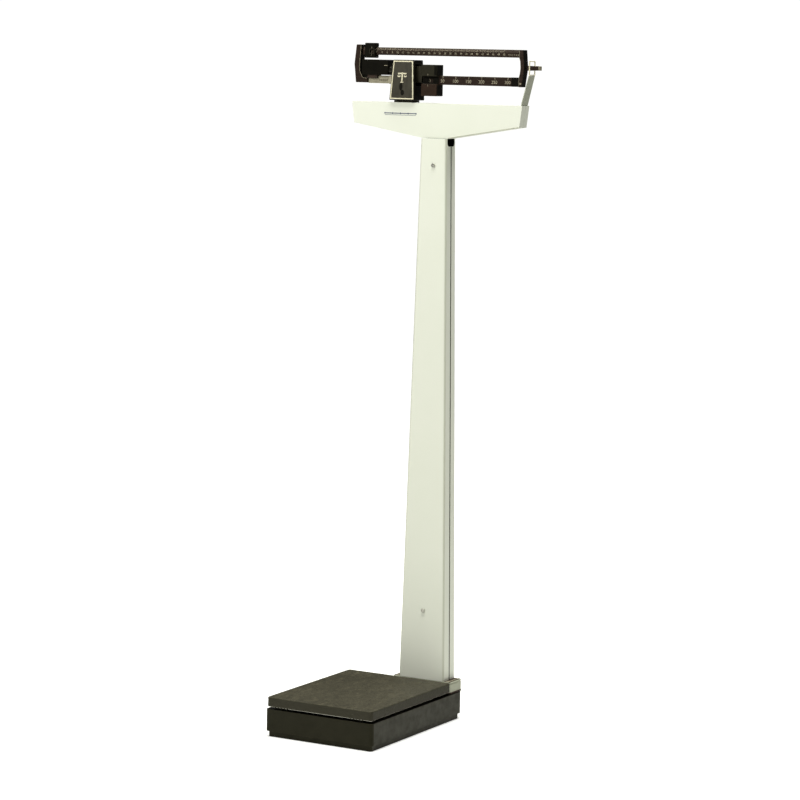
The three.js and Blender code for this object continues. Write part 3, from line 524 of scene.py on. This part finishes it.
# ---------------------------------------------------------------- CAD nodes: finishes, edges
EDGE = {
    "base_shell": 1.2, "base_pan": 0.8, "platform_cover": 0.8, "column_front": 0.45,
    "column_rear": 0.45, "housing_front": 0.5, "housing_rear": 0.5, "trig_arm": 0.5,
    "trig_loop": 0.5, "fulcrum_cover": 1.3, "badge_frame": 0.35, "beam_left_plate": 1.0,
    "beam_right_plate": 1.0, "upper_bar": 0.4, "lower_bar": 0.5, "left_rail": 0.5,
    "counterweight_box": 0.9, "zero_knob": 0.35, "pointer": 0.5, "pointer_tip": 0.6,
    "small_poise": 1.2, "large_poise": 1.1, "column_plinth": 1.0, "column_screw_upper": 0.4,
    "column_screw_lower": 0.4,
}
DEFAULT_EDGE = 0.4  # like EDGE, in millimetres
WELD_REACH = 0.00002
OTHER_FINISH = {
    "trig_loop": "ivory_plastic", "badge_frame": "ivory_plastic", "left_rail": "rail_satin",
    "trig_arm": "arm_enamel", "pointer_tip": "worn_print",
    "column_head_bracket": "cast_iron", "base_pan": "black_enamel", "large_poise": "poise_iron",
}


def dress_nodes():
    slots = {row["node"]: row["material_slot"] for row in frame["record"]["subparts"]}
    for name, node in frame["nodes"].items():
        weld = node.modifiers.new("weld", "WELD")
        weld.merge_threshold = WELD_REACH
        round_edges(node, EDGE.get(name, DEFAULT_EDGE) * MM)
        node.data.materials.clear()
        node.data.materials.append(MATERIALS[OTHER_FINISH.get(name, slots[name])])


dress_nodes()

# ---------------------------------------------------------------- platform mat with real pebbles
PEBBLE = 0.0042  # size of one pebble
PEBBLE_DEPTH = 0.00055
PEBBLE_GAP = 0.42  # share of a pebble that its groove takes
MAT_CORNER = 0.008
MAT_EDGE = 0.0026  # radius of the rounded top edge
MAT_LIP = 0.0020  # thickness of the skirt
MAT_CUTS = (178, 240)  # faces along the short and the long side
MAT_CORNER_CUTS = 7


def pebbled_mat():
    low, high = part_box("platform_mat")
    edge, lip = MAT_EDGE, MAT_LIP
    side = [(0.0, z) for z in np.linspace(low.z + 0.0008, high.z - edge, 13)]
    turn = [
        (edge * (1 - math.cos(a)), high.z - edge + edge * math.sin(a))
        for a in np.linspace(math.pi / 10, math.pi / 2, 5)
    ]
    half = (high.x - low.x) / 2
    top = [(inset, high.z) for inset in np.linspace(edge + 0.0014, half - 0.0006, 92)]
    under = [(lip, high.z - 0.0036), (lip, low.z), (0.0008, low.z)]
    verts, faces = ring_loft(
        (low.x, high.x), (low.y, high.y), MAT_CORNER, under + side + turn + top,
        step=MAT_CUTS, corner=MAT_CORNER_CUTS,
    )
    mesh = bpy.data.meshes.new("mat_work")
    mesh.from_pydata(verts, [], faces)
    mesh.update()
    normals = [v.normal.copy() for v in mesh.vertices]
    bpy.data.meshes.remove(mesh)
    ring = len(rounded_rect((0, 1), (0, 1), 0.1, MAT_CORNER_CUTS, MAT_CUTS))
    first_shown = len(under) * ring
    shaped = []
    for i, (point, normal) in enumerate(zip(verts, normals)):
        spot = Vector(point)
        if i >= first_shown:
            near = noise.voronoi(spot / PEBBLE)[0]
            groove = 1 - min(max((near[1] - near[0]) / PEBBLE_GAP, 0), 1) ** 0.6
            inward = Vector((-(spot.x - (low.x + high.x) / 2), -(spot.y - (low.y + high.y) / 2), 0))
            away = -normal if normal.dot(inward) > 0 and spot.z < high.z - edge else normal
            lean = Vector((0, 0, 1)) if spot.z > high.z - 0.0004 else away
            spot = spot - lean * PEBBLE_DEPTH * groove
        shaped.append(spot)
    made = piece("mat_pebbled", (shaped, faces), "rubber", "platform", "rubber")
    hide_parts("platform_mat")


pebbled_mat()


# ---------------------------------------------------------------- plinth with its groove
PLINTH_CORNER = 0.006


def grooved_plinth():
    low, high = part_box("column_plinth")
    top = high.z
    profile = [
        (0.0, low.z), (0.0, top - 0.0052), (0.0014, top - 0.0046), (0.0014, top - 0.0034),
        (0.0, top - 0.0028), (0.0, top - 0.0014), (0.0005, top - 0.0004), (0.0014, top),
        (0.014, top), (0.014, top - 0.003), (0.003, top - 0.003), (0.003, low.z),
    ]
    shape = ring_loft((low.x, high.x), (low.y, high.y), PLINTH_CORNER, profile, step=(10, 6),
                      corner=6, closed=True)
    made = piece("plinth_grooved", shape, "plinth_enamel", "base", "white_enamel", smooth=False)
    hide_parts("column_plinth")


grooved_plinth()


# ---------------------------------------------------------------- column seams and foot
COLUMN_MID_X = 0.0557
COLUMN_HALF_W = (0.0581, 0.0326)  # at the foot and at the top
COLUMN_Z = (0.0894, 1.3113)
NOTCH_Z = 1.294
SEAM_SHADE_FACES = [
    (0, 1, 3, 2), (4, 6, 7, 5), (0, 2, 6, 4), (1, 5, 7, 3), (0, 4, 5, 1), (2, 3, 7, 6),
]


def column_half_width(z):
    share = (z - COLUMN_Z[0]) / (COLUMN_Z[1] - COLUMN_Z[0])
    return COLUMN_HALF_W[0] + (COLUMN_HALF_W[1] - COLUMN_HALF_W[0]) * share


def column_seams():
    """Dark strips along the seams of the two folded sheets, down both sides of the column: painted
    shade in the seams.
    """
    parts = []
    heights = (COLUMN_Z[0] + 0.0006, NOTCH_Z - 0.0004)
    for way in (-1, 1):
        for near, far in ((-0.0017, -0.0004), (0.0004, 0.0017)):
            verts = []
            for z in heights:
                face = COLUMN_MID_X + way * column_half_width(z)
                for x in (face - way * 0.0008, face + way * 0.0003):
                    verts += [(x, AXIS_Y + near, z), (x, AXIS_Y + far, z)]
            parts.append((verts, SEAM_SHADE_FACES))
    piece("column_seam_shade", merged(parts), "black_enamel", "base", "white_enamel", smooth=False)


def notch_shades():
    """Black plates just inside the notches of both column sides, a painted shade that reads as dark
    openings.
    """
    parts = []
    for way in (-1, 1):
        face = COLUMN_MID_X + way * (column_half_width(NOTCH_Z) - 0.0020)
        x = sorted((face, face - way * 0.0012))
        y = (AXIS_Y - 0.0190, AXIS_Y + 0.0190)
        parts.append(block(x, y, (NOTCH_Z - 0.010, COLUMN_Z[1] - 0.0004)))
    piece("notch_shades", merged(parts), "notch_black", "base", "black_enamel", bevel=0.0002)


def plinth_trim():
    low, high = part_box("column_plinth")
    ends = ((COLUMN_MID_X + column_half_width(0.09) + 0.0004, high.x - 0.0016),
            (low.x + 0.0016, COLUMN_MID_X - column_half_width(0.09) - 0.0004))
    pad_y, pad_z = (low.y + 0.0014, high.y - 0.004), (high.z - 0.0004, high.z + 0.0008)
    ridge_z = (high.z + 0.0006, high.z + 0.0016)
    pads, ridges = [], []
    for x in ends:
        pads.append(block(x, pad_y, pad_z))
        inner = (x[0] + 0.0030, x[1] - 0.0030)
        ridges.append(block(inner, (low.y + 0.0050, low.y + 0.0064), ridge_z))
        ridges.append(block((inner[1] - 0.0014, inner[1]), (low.y + 0.0066, high.y - 0.009), ridge_z))
    piece("plinth_pads", merged(pads), "rust_enamel", "base", "black_enamel", bevel=0.0003)
    piece("plinth_ridges", merged(ridges), "ivory_plastic", "base", "white_enamel", bevel=0.0002)
    profile = [(-0.0005, low.z), (-0.0009, low.z + 0.0008), (-0.0009, low.z + 0.0030),
               (-0.0004, low.z + 0.0038), (0.0020, low.z + 0.0038), (0.0020, low.z)]
    foot = ring_loft((low.x, high.x), (low.y, high.y), PLINTH_CORNER, profile, closed=True)
    piece("plinth_foot", foot, "rust_enamel", "base", "black_enamel", smooth=False)


column_seams()
notch_shades()
plinth_trim()


# ---------------------------------------------------------------- scale marks
DIGIT_SHARE = 0.69  # a digit's height over the font's size


def numerals(entries, height, y, thick):
    """entries of (text, x, z), centred, standing on the plane y and facing the reader."""
    parts = []
    for text, x, z in entries:
        curve = bpy.data.curves.new("numeral", "FONT")
        curve.body = text
        curve.size = height / DIGIT_SHARE
        curve.align_x = "CENTER"
        curve.align_y = "CENTER"
        curve.extrude = thick / 2
        curve.resolution_u = 3
        temp = bpy.data.objects.new("numeral", curve)
        bpy.context.scene.collection.objects.link(temp)
        bpy.context.view_layer.update()
        solid = temp.evaluated_get(bpy.context.evaluated_depsgraph_get())
        mesh = bpy.data.meshes.new_from_object(solid)
        verts = [(x + v.co.x, y - v.co.z, z + v.co.y) for v in mesh.vertices]
        parts.append((verts, [tuple(p.vertices) for p in mesh.polygons]))
        bpy.data.objects.remove(temp)
        bpy.data.curves.remove(curve)
        bpy.data.meshes.remove(mesh)
    return parts


UPPER_ZERO_X = -0.118  # where the small poise reads zero
UPPER_POUND = 0.00672
LOWER_ZERO_X = 0.034
LOWER_STEP = 0.03255  # 50 lb on the lower bar
MARK = 0.00016  # how far paint stands off the bars
MARK_Y = (BAR_FACE_Y - MARK, BAR_FACE_Y + MARK)
UPPER_NUMERAL_Z = 1.4994
LOWER_NUMERAL_Z = 1.4384
LOWER_BAR_Z = (1.4302, 1.4500)


def upper_scale():
    entries = [
        (str(pound), UPPER_ZERO_X + pound * UPPER_POUND, UPPER_NUMERAL_Z)
        for pound in range(0, 51, 2)
    ]
    parts = numerals(entries, 0.0040, BAR_FACE_Y - MARK / 2, MARK)
    foot, rise = Vector((BAR_FACE_Y, 1.5044)), Vector((0.003, 0.006)).normalized()
    out = Vector((-rise.y, rise.x))
    for quarter in range(0, 201):
        x = UPPER_ZERO_X + quarter * UPPER_POUND / 4
        length = 0.0050 if quarter % 4 == 0 else (0.0036 if quarter % 2 == 0 else 0.0024)
        wide = 0.00022 if quarter % 4 else 0.00034
        ends = [foot + rise * 0.0006, foot + rise * (0.0006 + length)]
        corners = [ends[0], ends[1], ends[1] + out * MARK, ends[0] + out * MARK]
        verts = [(x + dx, c.x, c.y) for dx in (-wide / 2, wide / 2) for c in corners]
        faces = [(0, 1, 2, 3), (7, 6, 5, 4)]
        faces += [(i, (i + 1) % 4, 4 + (i + 1) % 4, 4 + i) for i in range(4)]
        parts.append((verts, faces))
    for pound in range(0, 51):
        x = UPPER_ZERO_X + pound * UPPER_POUND
        parts.append(block((x - 0.00016, x + 0.00016), MARK_Y, (1.5027, 1.5043)))
    for x in np.arange(0.2290, 0.2550, 0.0046):
        parts.append(block((x, x + 0.0026), MARK_Y, (1.4984, 1.4998)))
    piece("upper_scale_marks", merged(parts), "cream_print", "beam", "bar_enamel", smooth=False)
    # A cream strip along the bar's top edge: painted highlight.
    crest = block((-0.1045, 0.2575), (0.1757, 0.1804), (1.51035, 1.51035 + MARK))
    piece("upper_bar_crest", crest, "cream_print", "beam", "bar_enamel", smooth=False)


def lower_scale():
    entries = [
        (str(50 * i), LOWER_ZERO_X + i * LOWER_STEP - 0.0012, LOWER_NUMERAL_Z) for i in range(7)
    ]
    parts = numerals(entries, 0.0070, BAR_FACE_Y - MARK / 2, MARK)
    for i in range(7):
        x = LOWER_ZERO_X + i * LOWER_STEP
        parts.append(block((x - 0.0004, x + 0.0004), MARK_Y, (1.4440, 1.4496)))
    piece("lower_scale_marks", merged(parts), "cream_print", "beam", "bar_enamel", smooth=False)
    # A cream strip along the bar's top edge: painted highlight.
    crest = block((0.0600, 0.2376), (0.1728, 0.1802), (1.44995, 1.44995 + MARK))
    piece("lower_bar_crest", crest, "cream_print", "beam", "bar_enamel", smooth=False)


upper_scale()
lower_scale()


# ---------------------------------------------------------------- beam details
PLATE_FRONT_Y = 0.1667  # front edges of the two end plates
PLATE_FACE = (0.1661, PLATE_FRONT_Y)
LEFT_PLATE_INNER = [
    (-0.1252, 1.4410), (-0.1368, 1.4430), (-0.1438, 1.4560), (-0.1448, 1.4700), (-0.1413, 1.5158),
]
RIGHT_PLATE_INNER = [
    (0.2587, 1.5101), (0.2587, 1.4936), (0.2613, 1.4850), (0.2623, 1.4710), (0.2608, 1.4582),
    (0.2587, 1.4502), (0.2587, 1.4295),
]
RIGHT_PLATE_OUTER = [(0.2654, 1.4294), (0.2714, 1.4710), (0.2679, 1.5102)]
RAIL_TICKS = 9
RAIL_TICK_PITCH = 0.0026


def beam_plates():
    liner = ribbon(LEFT_PLATE_INNER, 0.0007, 0.1668, 0.1867)
    piece("left_plate_liner", liner, "black_plastic", "beam", "black_plastic", bevel=0.0002)
    # Light strips along the end plates' inner edges: painted highlight.
    face = ribbon(LEFT_PLATE_INNER, 0.0013, *PLATE_FACE)
    piece("left_plate_rim", face, "worn_print", "beam", "bar_enamel", bevel=0.0001)
    rim = ribbon(RIGHT_PLATE_INNER, 0.0009, *PLATE_FACE)
    piece("right_plate_rim", rim, "worn_print", "beam", "bar_enamel", bevel=0.0001)
    skin = ribbon(RIGHT_PLATE_OUTER, 0.0006, 0.1668, 0.1862)
    piece("right_plate_skin", skin, "black_plastic", "beam", "black_plastic", bevel=0.0002)
    marks = [
        block((x - 0.0006, x + 0.0006), (0.1662, PLATE_FRONT_Y), (1.4345, 1.4385))
        for x in (0.2612, 0.2638)
    ]
    piece("right_plate_marks", merged(marks), "cream_print", "beam", "bar_enamel", smooth=False)


def beam_trim():
    # A cream strip along the pointer's top: painted highlight.
    top = block((0.2764, 0.3008), (0.1738, 0.1792), (1.47550, 1.4762))
    piece("pointer_line", top, "cream_print", "beam", "bar_enamel", bevel=0.0001)
    dash = block((-0.0790, -0.0712), (0.1631, 0.1637), (1.4697, 1.4707))
    piece("counterweight_mark", dash, "cream_print", "beam", "black_plastic", bevel=0.0001)
    ticks = []
    for i in range(RAIL_TICKS):
        x, z = -0.0965 + i * RAIL_TICK_PITCH, 1.4375
        tall = 0.0046 if i % 2 == 0 else 0.0030
        ticks.append(block((x - 0.0005, x + 0.0005), MARK_Y, (z - tall / 2, z + tall / 2)))
    piece("left_rail_ticks", merged(ticks), "rust_enamel", "beam", "bar_enamel", smooth=False)
    saddle = block((-0.1245, -0.0992), (0.1671, 0.1678), (1.4420, 1.4488))
    piece("saddle_front", saddle, "rust_enamel", "beam", "black_plastic", bevel=0.0001)


def small_poise_details():
    """Window frame, index marks and the two tabs on the side next to the bar."""
    low_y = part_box("small_poise")[0].y
    y = (low_y - 0.0003, low_y + 0.0003)
    left, right, bottom, top = -0.1210, -0.1090, 1.4960, 1.5070
    wide = 0.0010
    ring = [
        block((left, right), y, (top - wide, top)),
        block((left, right), y, (bottom, bottom + wide)),
        block((left, left + wide), y, (bottom + wide, top - wide)),
        block((right - wide, right), y, (bottom + wide, top - wide)),
    ]
    rides = ("small_poise", "black_plastic")
    piece("small_poise_window", merged(ring), "cast_iron", *rides, smooth=False)
    index = [block((-0.11515, -0.11485), y, z) for z in ((1.5076, 1.5118), (1.4912, 1.4954))]
    piece("small_poise_index", merged(index), "cream_print", *rides, smooth=False)
    tabs = [
        block((-0.1067, -0.1050), (0.1700, 0.1830), (1.5128, 1.5190)),
        block((-0.1067, -0.1045), (0.1682, 0.1712), (1.4975, 1.5035)),
    ]
    piece("small_poise_tabs", merged(tabs), "black_plastic", *rides, bevel=0.0004)


def large_poise_details():
    """The black plate behind the window, a painted shade round the bar, the cheeks, the index marks
    and the grip.
    """
    low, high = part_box("large_poise")
    face = low.y
    window = (LOWER_BAR_Z[0] + 0.0014, LOWER_BAR_Z[1] - 0.0014)
    plate_y = (face + 0.0090, face + 0.0098)
    left, right = (low.x + 0.0002, 0.0315), (0.0425, high.x - 0.0002)
    plate = [
        block(left, plate_y, window), block(right, plate_y, window),
        block((left[1], right[0]), plate_y, (window[0], window[0] + 0.0026)),
        block((left[1], right[0]), plate_y, (window[1] - 0.0052, window[1])),
    ]
    rides = ("large_poise", "black_plastic")
    # Black plate in front of the bar inside the window: painted shade.
    piece("large_poise_shade_plate", merged(plate), "black_plastic", *rides, smooth=False)
    cheeks = []
    for at in (high.x, low.x):
        x, y = (at - 0.0003, at + 0.0003), (face + 0.0012, high.y - 0.0012)
        cheeks.append(block(x, y, (window[1] + 0.0020, high.z - 0.0012)))
        cheeks.append(block(x, y, (low.z + 0.0012, window[0] - 0.0026)))
    piece("large_poise_cheeks", merged(cheeks), "black_plastic", *rides, bevel=0.0002)
    x, y = (0.0337, 0.0343), (face - 0.0003, face + 0.0003)
    index = [
        block(x, y, (window[1] + 0.0012, window[1] + 0.0056)),
        block(x, y, (window[0] - 0.0056, window[0] - 0.0012)),
    ]
    index = merged(index)
    piece("large_poise_index", index, "cream_print", "large_poise", "cast_iron", smooth=False)
    grip = block((high.x - 0.0066, high.x - 0.0006), (face - 0.0006, face + 0.0030),
                 (window[1] + 0.0018, high.z - 0.0010))
    piece("large_poise_grip", grip, "black_plastic", *rides, bevel=0.0006)


# The band round the lower bar's right end, outside the last mark.
LOWER_BAND = block((0.2378, 0.2576), (BAR_FACE_Y - 0.0003, 0.1808), (1.42990, 1.45030))
piece("lower_bar_band", LOWER_BAND, "black_plastic", "beam", "black_plastic", bevel=0.0002)
beam_plates()
beam_trim()
small_poise_details()
large_poise_details()


# ---------------------------------------------------------------- badge
COVER_FOOT_Z = 1.394
COVER_LEAN = 0.0592  # how far the cover's front goes back for each unit up
PANEL = [(-0.0535, 1.3989), (0.0005, 1.3989), (-0.0045, 1.4786), (-0.0485, 1.4786)]
DARK_OVALS = ((-0.0300, 1.4240, 0.0042, 0.0088), (-0.0255, 1.4110, 0.0046, 0.0062))
EMBLEM_AT = (-0.0278, 1.4475)


def leaning(part):
    verts, faces = part
    return [(x, y + (z - COVER_FOOT_Z) * COVER_LEAN, z) for x, y, z in verts], faces


def emblem(y):
    """A small balance: stem, beam, foot and two pans on their strings."""
    mid_x, z = EMBLEM_AT
    parts = [
        prism([(mid_x - 0.0012, z - 0.013), (mid_x + 0.0012, z - 0.013),
               (mid_x + 0.0020, z + 0.0080), (mid_x - 0.0020, z + 0.0080)], *y),
        prism([(mid_x - 0.0108, z + 0.0046), (mid_x + 0.0108, z + 0.0046),
               (mid_x + 0.0108, z + 0.0072), (mid_x - 0.0108, z + 0.0072)], *y),
        prism([(mid_x - 0.004, z - 0.0145), (mid_x + 0.004, z - 0.0145),
               (mid_x + 0.004, z - 0.0128), (mid_x - 0.004, z - 0.0128)], *y),
    ]
    for way in (-1, 1):
        hang = mid_x + way * 0.0080
        pan = [
            (hang - 0.0040, z + 0.0004), (hang + 0.0040, z + 0.0004),
            (hang + 0.0026, z - 0.0022), (hang - 0.0026, z - 0.0022),
        ]
        parts.append(prism(pan, *y))
        for side in (-1, 1):
            end = hang + side * 0.0036
            string = [
                (hang - 0.0003, z + 0.0049), (hang + 0.0003, z + 0.0049),
                (end + 0.0003, z + 0.0003), (end - 0.0003, z + 0.0003),
            ]
            parts.append(prism(string, *y))
    return merged(parts)


def badge():
    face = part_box("badge_frame")[0].y
    panel = leaning(prism(PANEL, face + 0.0007, face + 0.0014))
    piece("badge_panel", panel, "badge_lacquer", "base", "black_enamel", bevel=0.0002)
    # Two black ovals below the emblem.
    drops = []
    for cx, cz, half_w, half_h in DARK_OVALS:
        turns = [2 * math.pi * i / 20 for i in range(20)]
        outline = [(cx + half_w * math.cos(a), cz + half_h * math.sin(a)) for a in turns]
        drops.append(prism(outline, face + 0.0004, face + 0.0009))
    dark_ovals = leaning(merged(drops))
    piece("badge_dark_ovals", dark_ovals, "black_plastic", "base", "black_enamel", bevel=0.0001)
    sign = leaning(emblem((face + 0.0003, face + 0.0008)))
    piece("badge_emblem", sign, "ivory_plastic", "base", "ivory_plastic", smooth=False)


# ---------------------------------------------------------------- housing and platform trim
ORNAMENT_X = (-0.0725, 0.0070)
ORNAMENT_DIAMONDS = 5
ORNAMENT_MID_Z = 1.3646


def housing_ornament():
    """Two thin lines and a row of diamonds, and a darker fold along the lower right edge, a painted
    shade.
    """
    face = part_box("housing_front")[0].y
    y = (face - 0.00015, face + 0.0002)
    parts = [block(ORNAMENT_X, y, z) for z in ((1.3638, 1.3656), (1.3604, 1.3612))]
    for i in range(ORNAMENT_DIAMONDS):
        cx = ORNAMENT_X[0] + 0.0795 * i / 4
        diamond = [
            (cx - 0.0022, ORNAMENT_MID_Z), (cx, 1.3624),
            (cx + 0.0022, ORNAMENT_MID_Z), (cx, 1.3668),
        ]
        parts.append(prism(diamond, y[0] - 0.0001, y[1]))
    piece("housing_ornament", merged(parts), "blue_print", "base", "white_enamel", smooth=False)
    # A darker strip along the lower right edge: painted shade.
    lip = ribbon([(0.0900, 1.3121), (0.2664, 1.3413)], 0.0015, face - 0.0002, face + 0.0006)
    piece("housing_edge_shade", lip, "plinth_enamel", "base", "white_enamel", bevel=0.0001)


TAB_STARTS = (-0.113, 0.078)
TABS = 5
TAB_PITCH = 0.0076


def platform_trim():
    """The bright edge of the platform's own cover, seen under the mat all round, and its tabs."""
    low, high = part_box("platform_mat")
    z = (low.z - 0.0010, low.z - 0.0001)
    inset = 0.0024
    x, y = (low.x + inset, high.x - inset), (low.y + inset, high.y - inset)
    parts = [
        block(x, (y[0], y[0] + 0.0012), z), block(x, (y[1] - 0.0012, y[1]), z),
        block((x[0], x[0] + 0.0012), (y[0] + 0.0014, y[1] - 0.0014), z),
        block((x[1] - 0.0012, x[1]), (y[0] + 0.0014, y[1] - 0.0014), z),
    ]
    piece("platform_lip", merged(parts), "steel", "platform", "black_enamel", bevel=0.0002)
    tabs = []
    for start in TAB_STARTS:
        for i in range(TABS):
            at = start + i * TAB_PITCH
            depth, height = (y[0] - 0.0006, y[0] + 0.0016), (z[0] - 0.0016, z[1])
            tabs.append(block((at, at + 0.0030), depth, height))
    piece("platform_tabs", merged(tabs), "black_enamel", "platform", "black_enamel", bevel=0.0003)


badge()
housing_ornament()
platform_trim()


# ---------------------------------------------------------------- floor, light and camera
FLOOR_REACH = 14.0
STUDIO_WHITE = (1.0, 1.0, 0.925)
CAMERA_TURNS = (29.453, 6.726, 1.159)  # azimuth, elevation and roll in degrees
CAMERA_PLACE = (3.2224, -5.5811, 1.4973)
CAMERA_LENS = 132.17
CAMERA_SENSOR = 36.0


def floor_material():
    """A pale floor that the camera sees rising to white away from the middle."""
    f = Finish("floor")
    f.colour(f.mix(f.noise(3, 2), (0.80, 0.80, 0.775), (0.82, 0.82, 0.80)))
    f.roughness(0.9)
    glow = f.node("ShaderNodeEmission")
    away = f.node("ShaderNodeVectorMath", operation="LENGTH")
    f.join(f.place, away.inputs[0])
    f.join(f.span(away.outputs["Value"], 0.4, 2.6, 0.42, 1.0), glow.inputs["Strength"])
    added = f.node("ShaderNodeAddShader")
    f.join(f.bsdf.outputs[0], added.inputs[0])
    f.join(glow.outputs[0], added.inputs[1])
    seen = f.node("ShaderNodeLightPath")
    chosen = f.node("ShaderNodeMixShader")
    f.join(seen.outputs["Is Camera Ray"], chosen.inputs["Fac"])
    f.join(f.bsdf.outputs[0], chosen.inputs[1])
    f.join(added.outputs[0], chosen.inputs[2])
    out = [n for n in f.tree.nodes if n.type == "OUTPUT_MATERIAL"][0]
    f.join(chosen.outputs[0], out.inputs["Surface"])
    return f.material


def stage():
    reach = FLOOR_REACH
    corners = [(-reach, -reach, 0), (reach, -reach, 0), (reach, reach, 0), (-reach, reach, 0)]
    mesh = bpy.data.meshes.new("floor")
    mesh.from_pydata(corners, [], [(0, 1, 2, 3)])
    mesh.materials.append(floor_material())
    floor = bpy.data.objects.new("floor", mesh)
    bpy.context.scene.collection.objects.link(floor)
    floor.location.z = -0.0004


def world():
    """White to the camera, and a faint even light on the object."""
    made = bpy.data.worlds.new("studio")
    bpy.context.scene.world = made
    made.use_nodes = True
    tree = made.node_tree
    tree.nodes.clear()
    add = tree.nodes.new
    path, pick = add("ShaderNodeLightPath"), add("ShaderNodeMix")
    tree.links.new(path.outputs["Is Camera Ray"], pick.inputs[0])
    pick.inputs[2].default_value = 0.08
    pick.inputs[3].default_value = 1.05
    back, out = add("ShaderNodeBackground"), add("ShaderNodeOutputWorld")
    back.inputs["Color"].default_value = (1.0, 1.0, 0.985, 1.0)
    tree.links.new(pick.outputs[0], back.inputs["Strength"])
    tree.links.new(back.outputs[0], out.inputs["Surface"])


def area(name, place, aim, size, power):
    lamp = bpy.data.lights.new(name, "AREA")
    lamp.shape = "RECTANGLE"
    lamp.size, lamp.size_y = size
    lamp.energy = power
    lamp.color = STUDIO_WHITE
    made = bpy.data.objects.new(name, lamp)
    bpy.context.scene.collection.objects.link(made)
    made.location = place
    made.rotation_euler = (Vector(aim) - Vector(place)).to_track_quat("-Z", "Y").to_euler()


def camera():
    azimuth, elevation, roll = (math.radians(a) for a in CAMERA_TURNS)
    look = Vector((
        -math.sin(azimuth) * math.cos(elevation), math.cos(azimuth) * math.cos(elevation),
        -math.sin(elevation),
    ))
    level = look.cross(Vector((0, 0, 1))).normalized()
    upright = level.cross(look)
    right = level * math.cos(roll) + upright * math.sin(roll)
    up = right.cross(look)
    lens = bpy.data.cameras.new("camera")
    lens.lens = CAMERA_LENS
    lens.sensor_width = CAMERA_SENSOR
    lens.clip_end = 60.0
    made = bpy.data.objects.new("camera", lens)
    bpy.context.scene.collection.objects.link(made)
    x, y, z = CAMERA_PLACE
    made.matrix_world = Matrix((
        (right.x, up.x, -look.x, x), (right.y, up.y, -look.y, y),
        (right.z, up.z, -look.z, z), (0, 0, 0, 1),
    ))
    bpy.context.scene.camera = made


stage()
world()
area("key", place=(-1.0, -2.4, 2.9), aim=(0.05, 0.15, 1.0), size=(1.5, 1.2), power=60)
area("overhead", place=(0.35, 0.1, 4.0), aim=(0.35, 0.1, 0.0), size=(2.6, 2.6), power=222)
camera()
bpy.context.scene.view_settings.view_transform = "Standard"
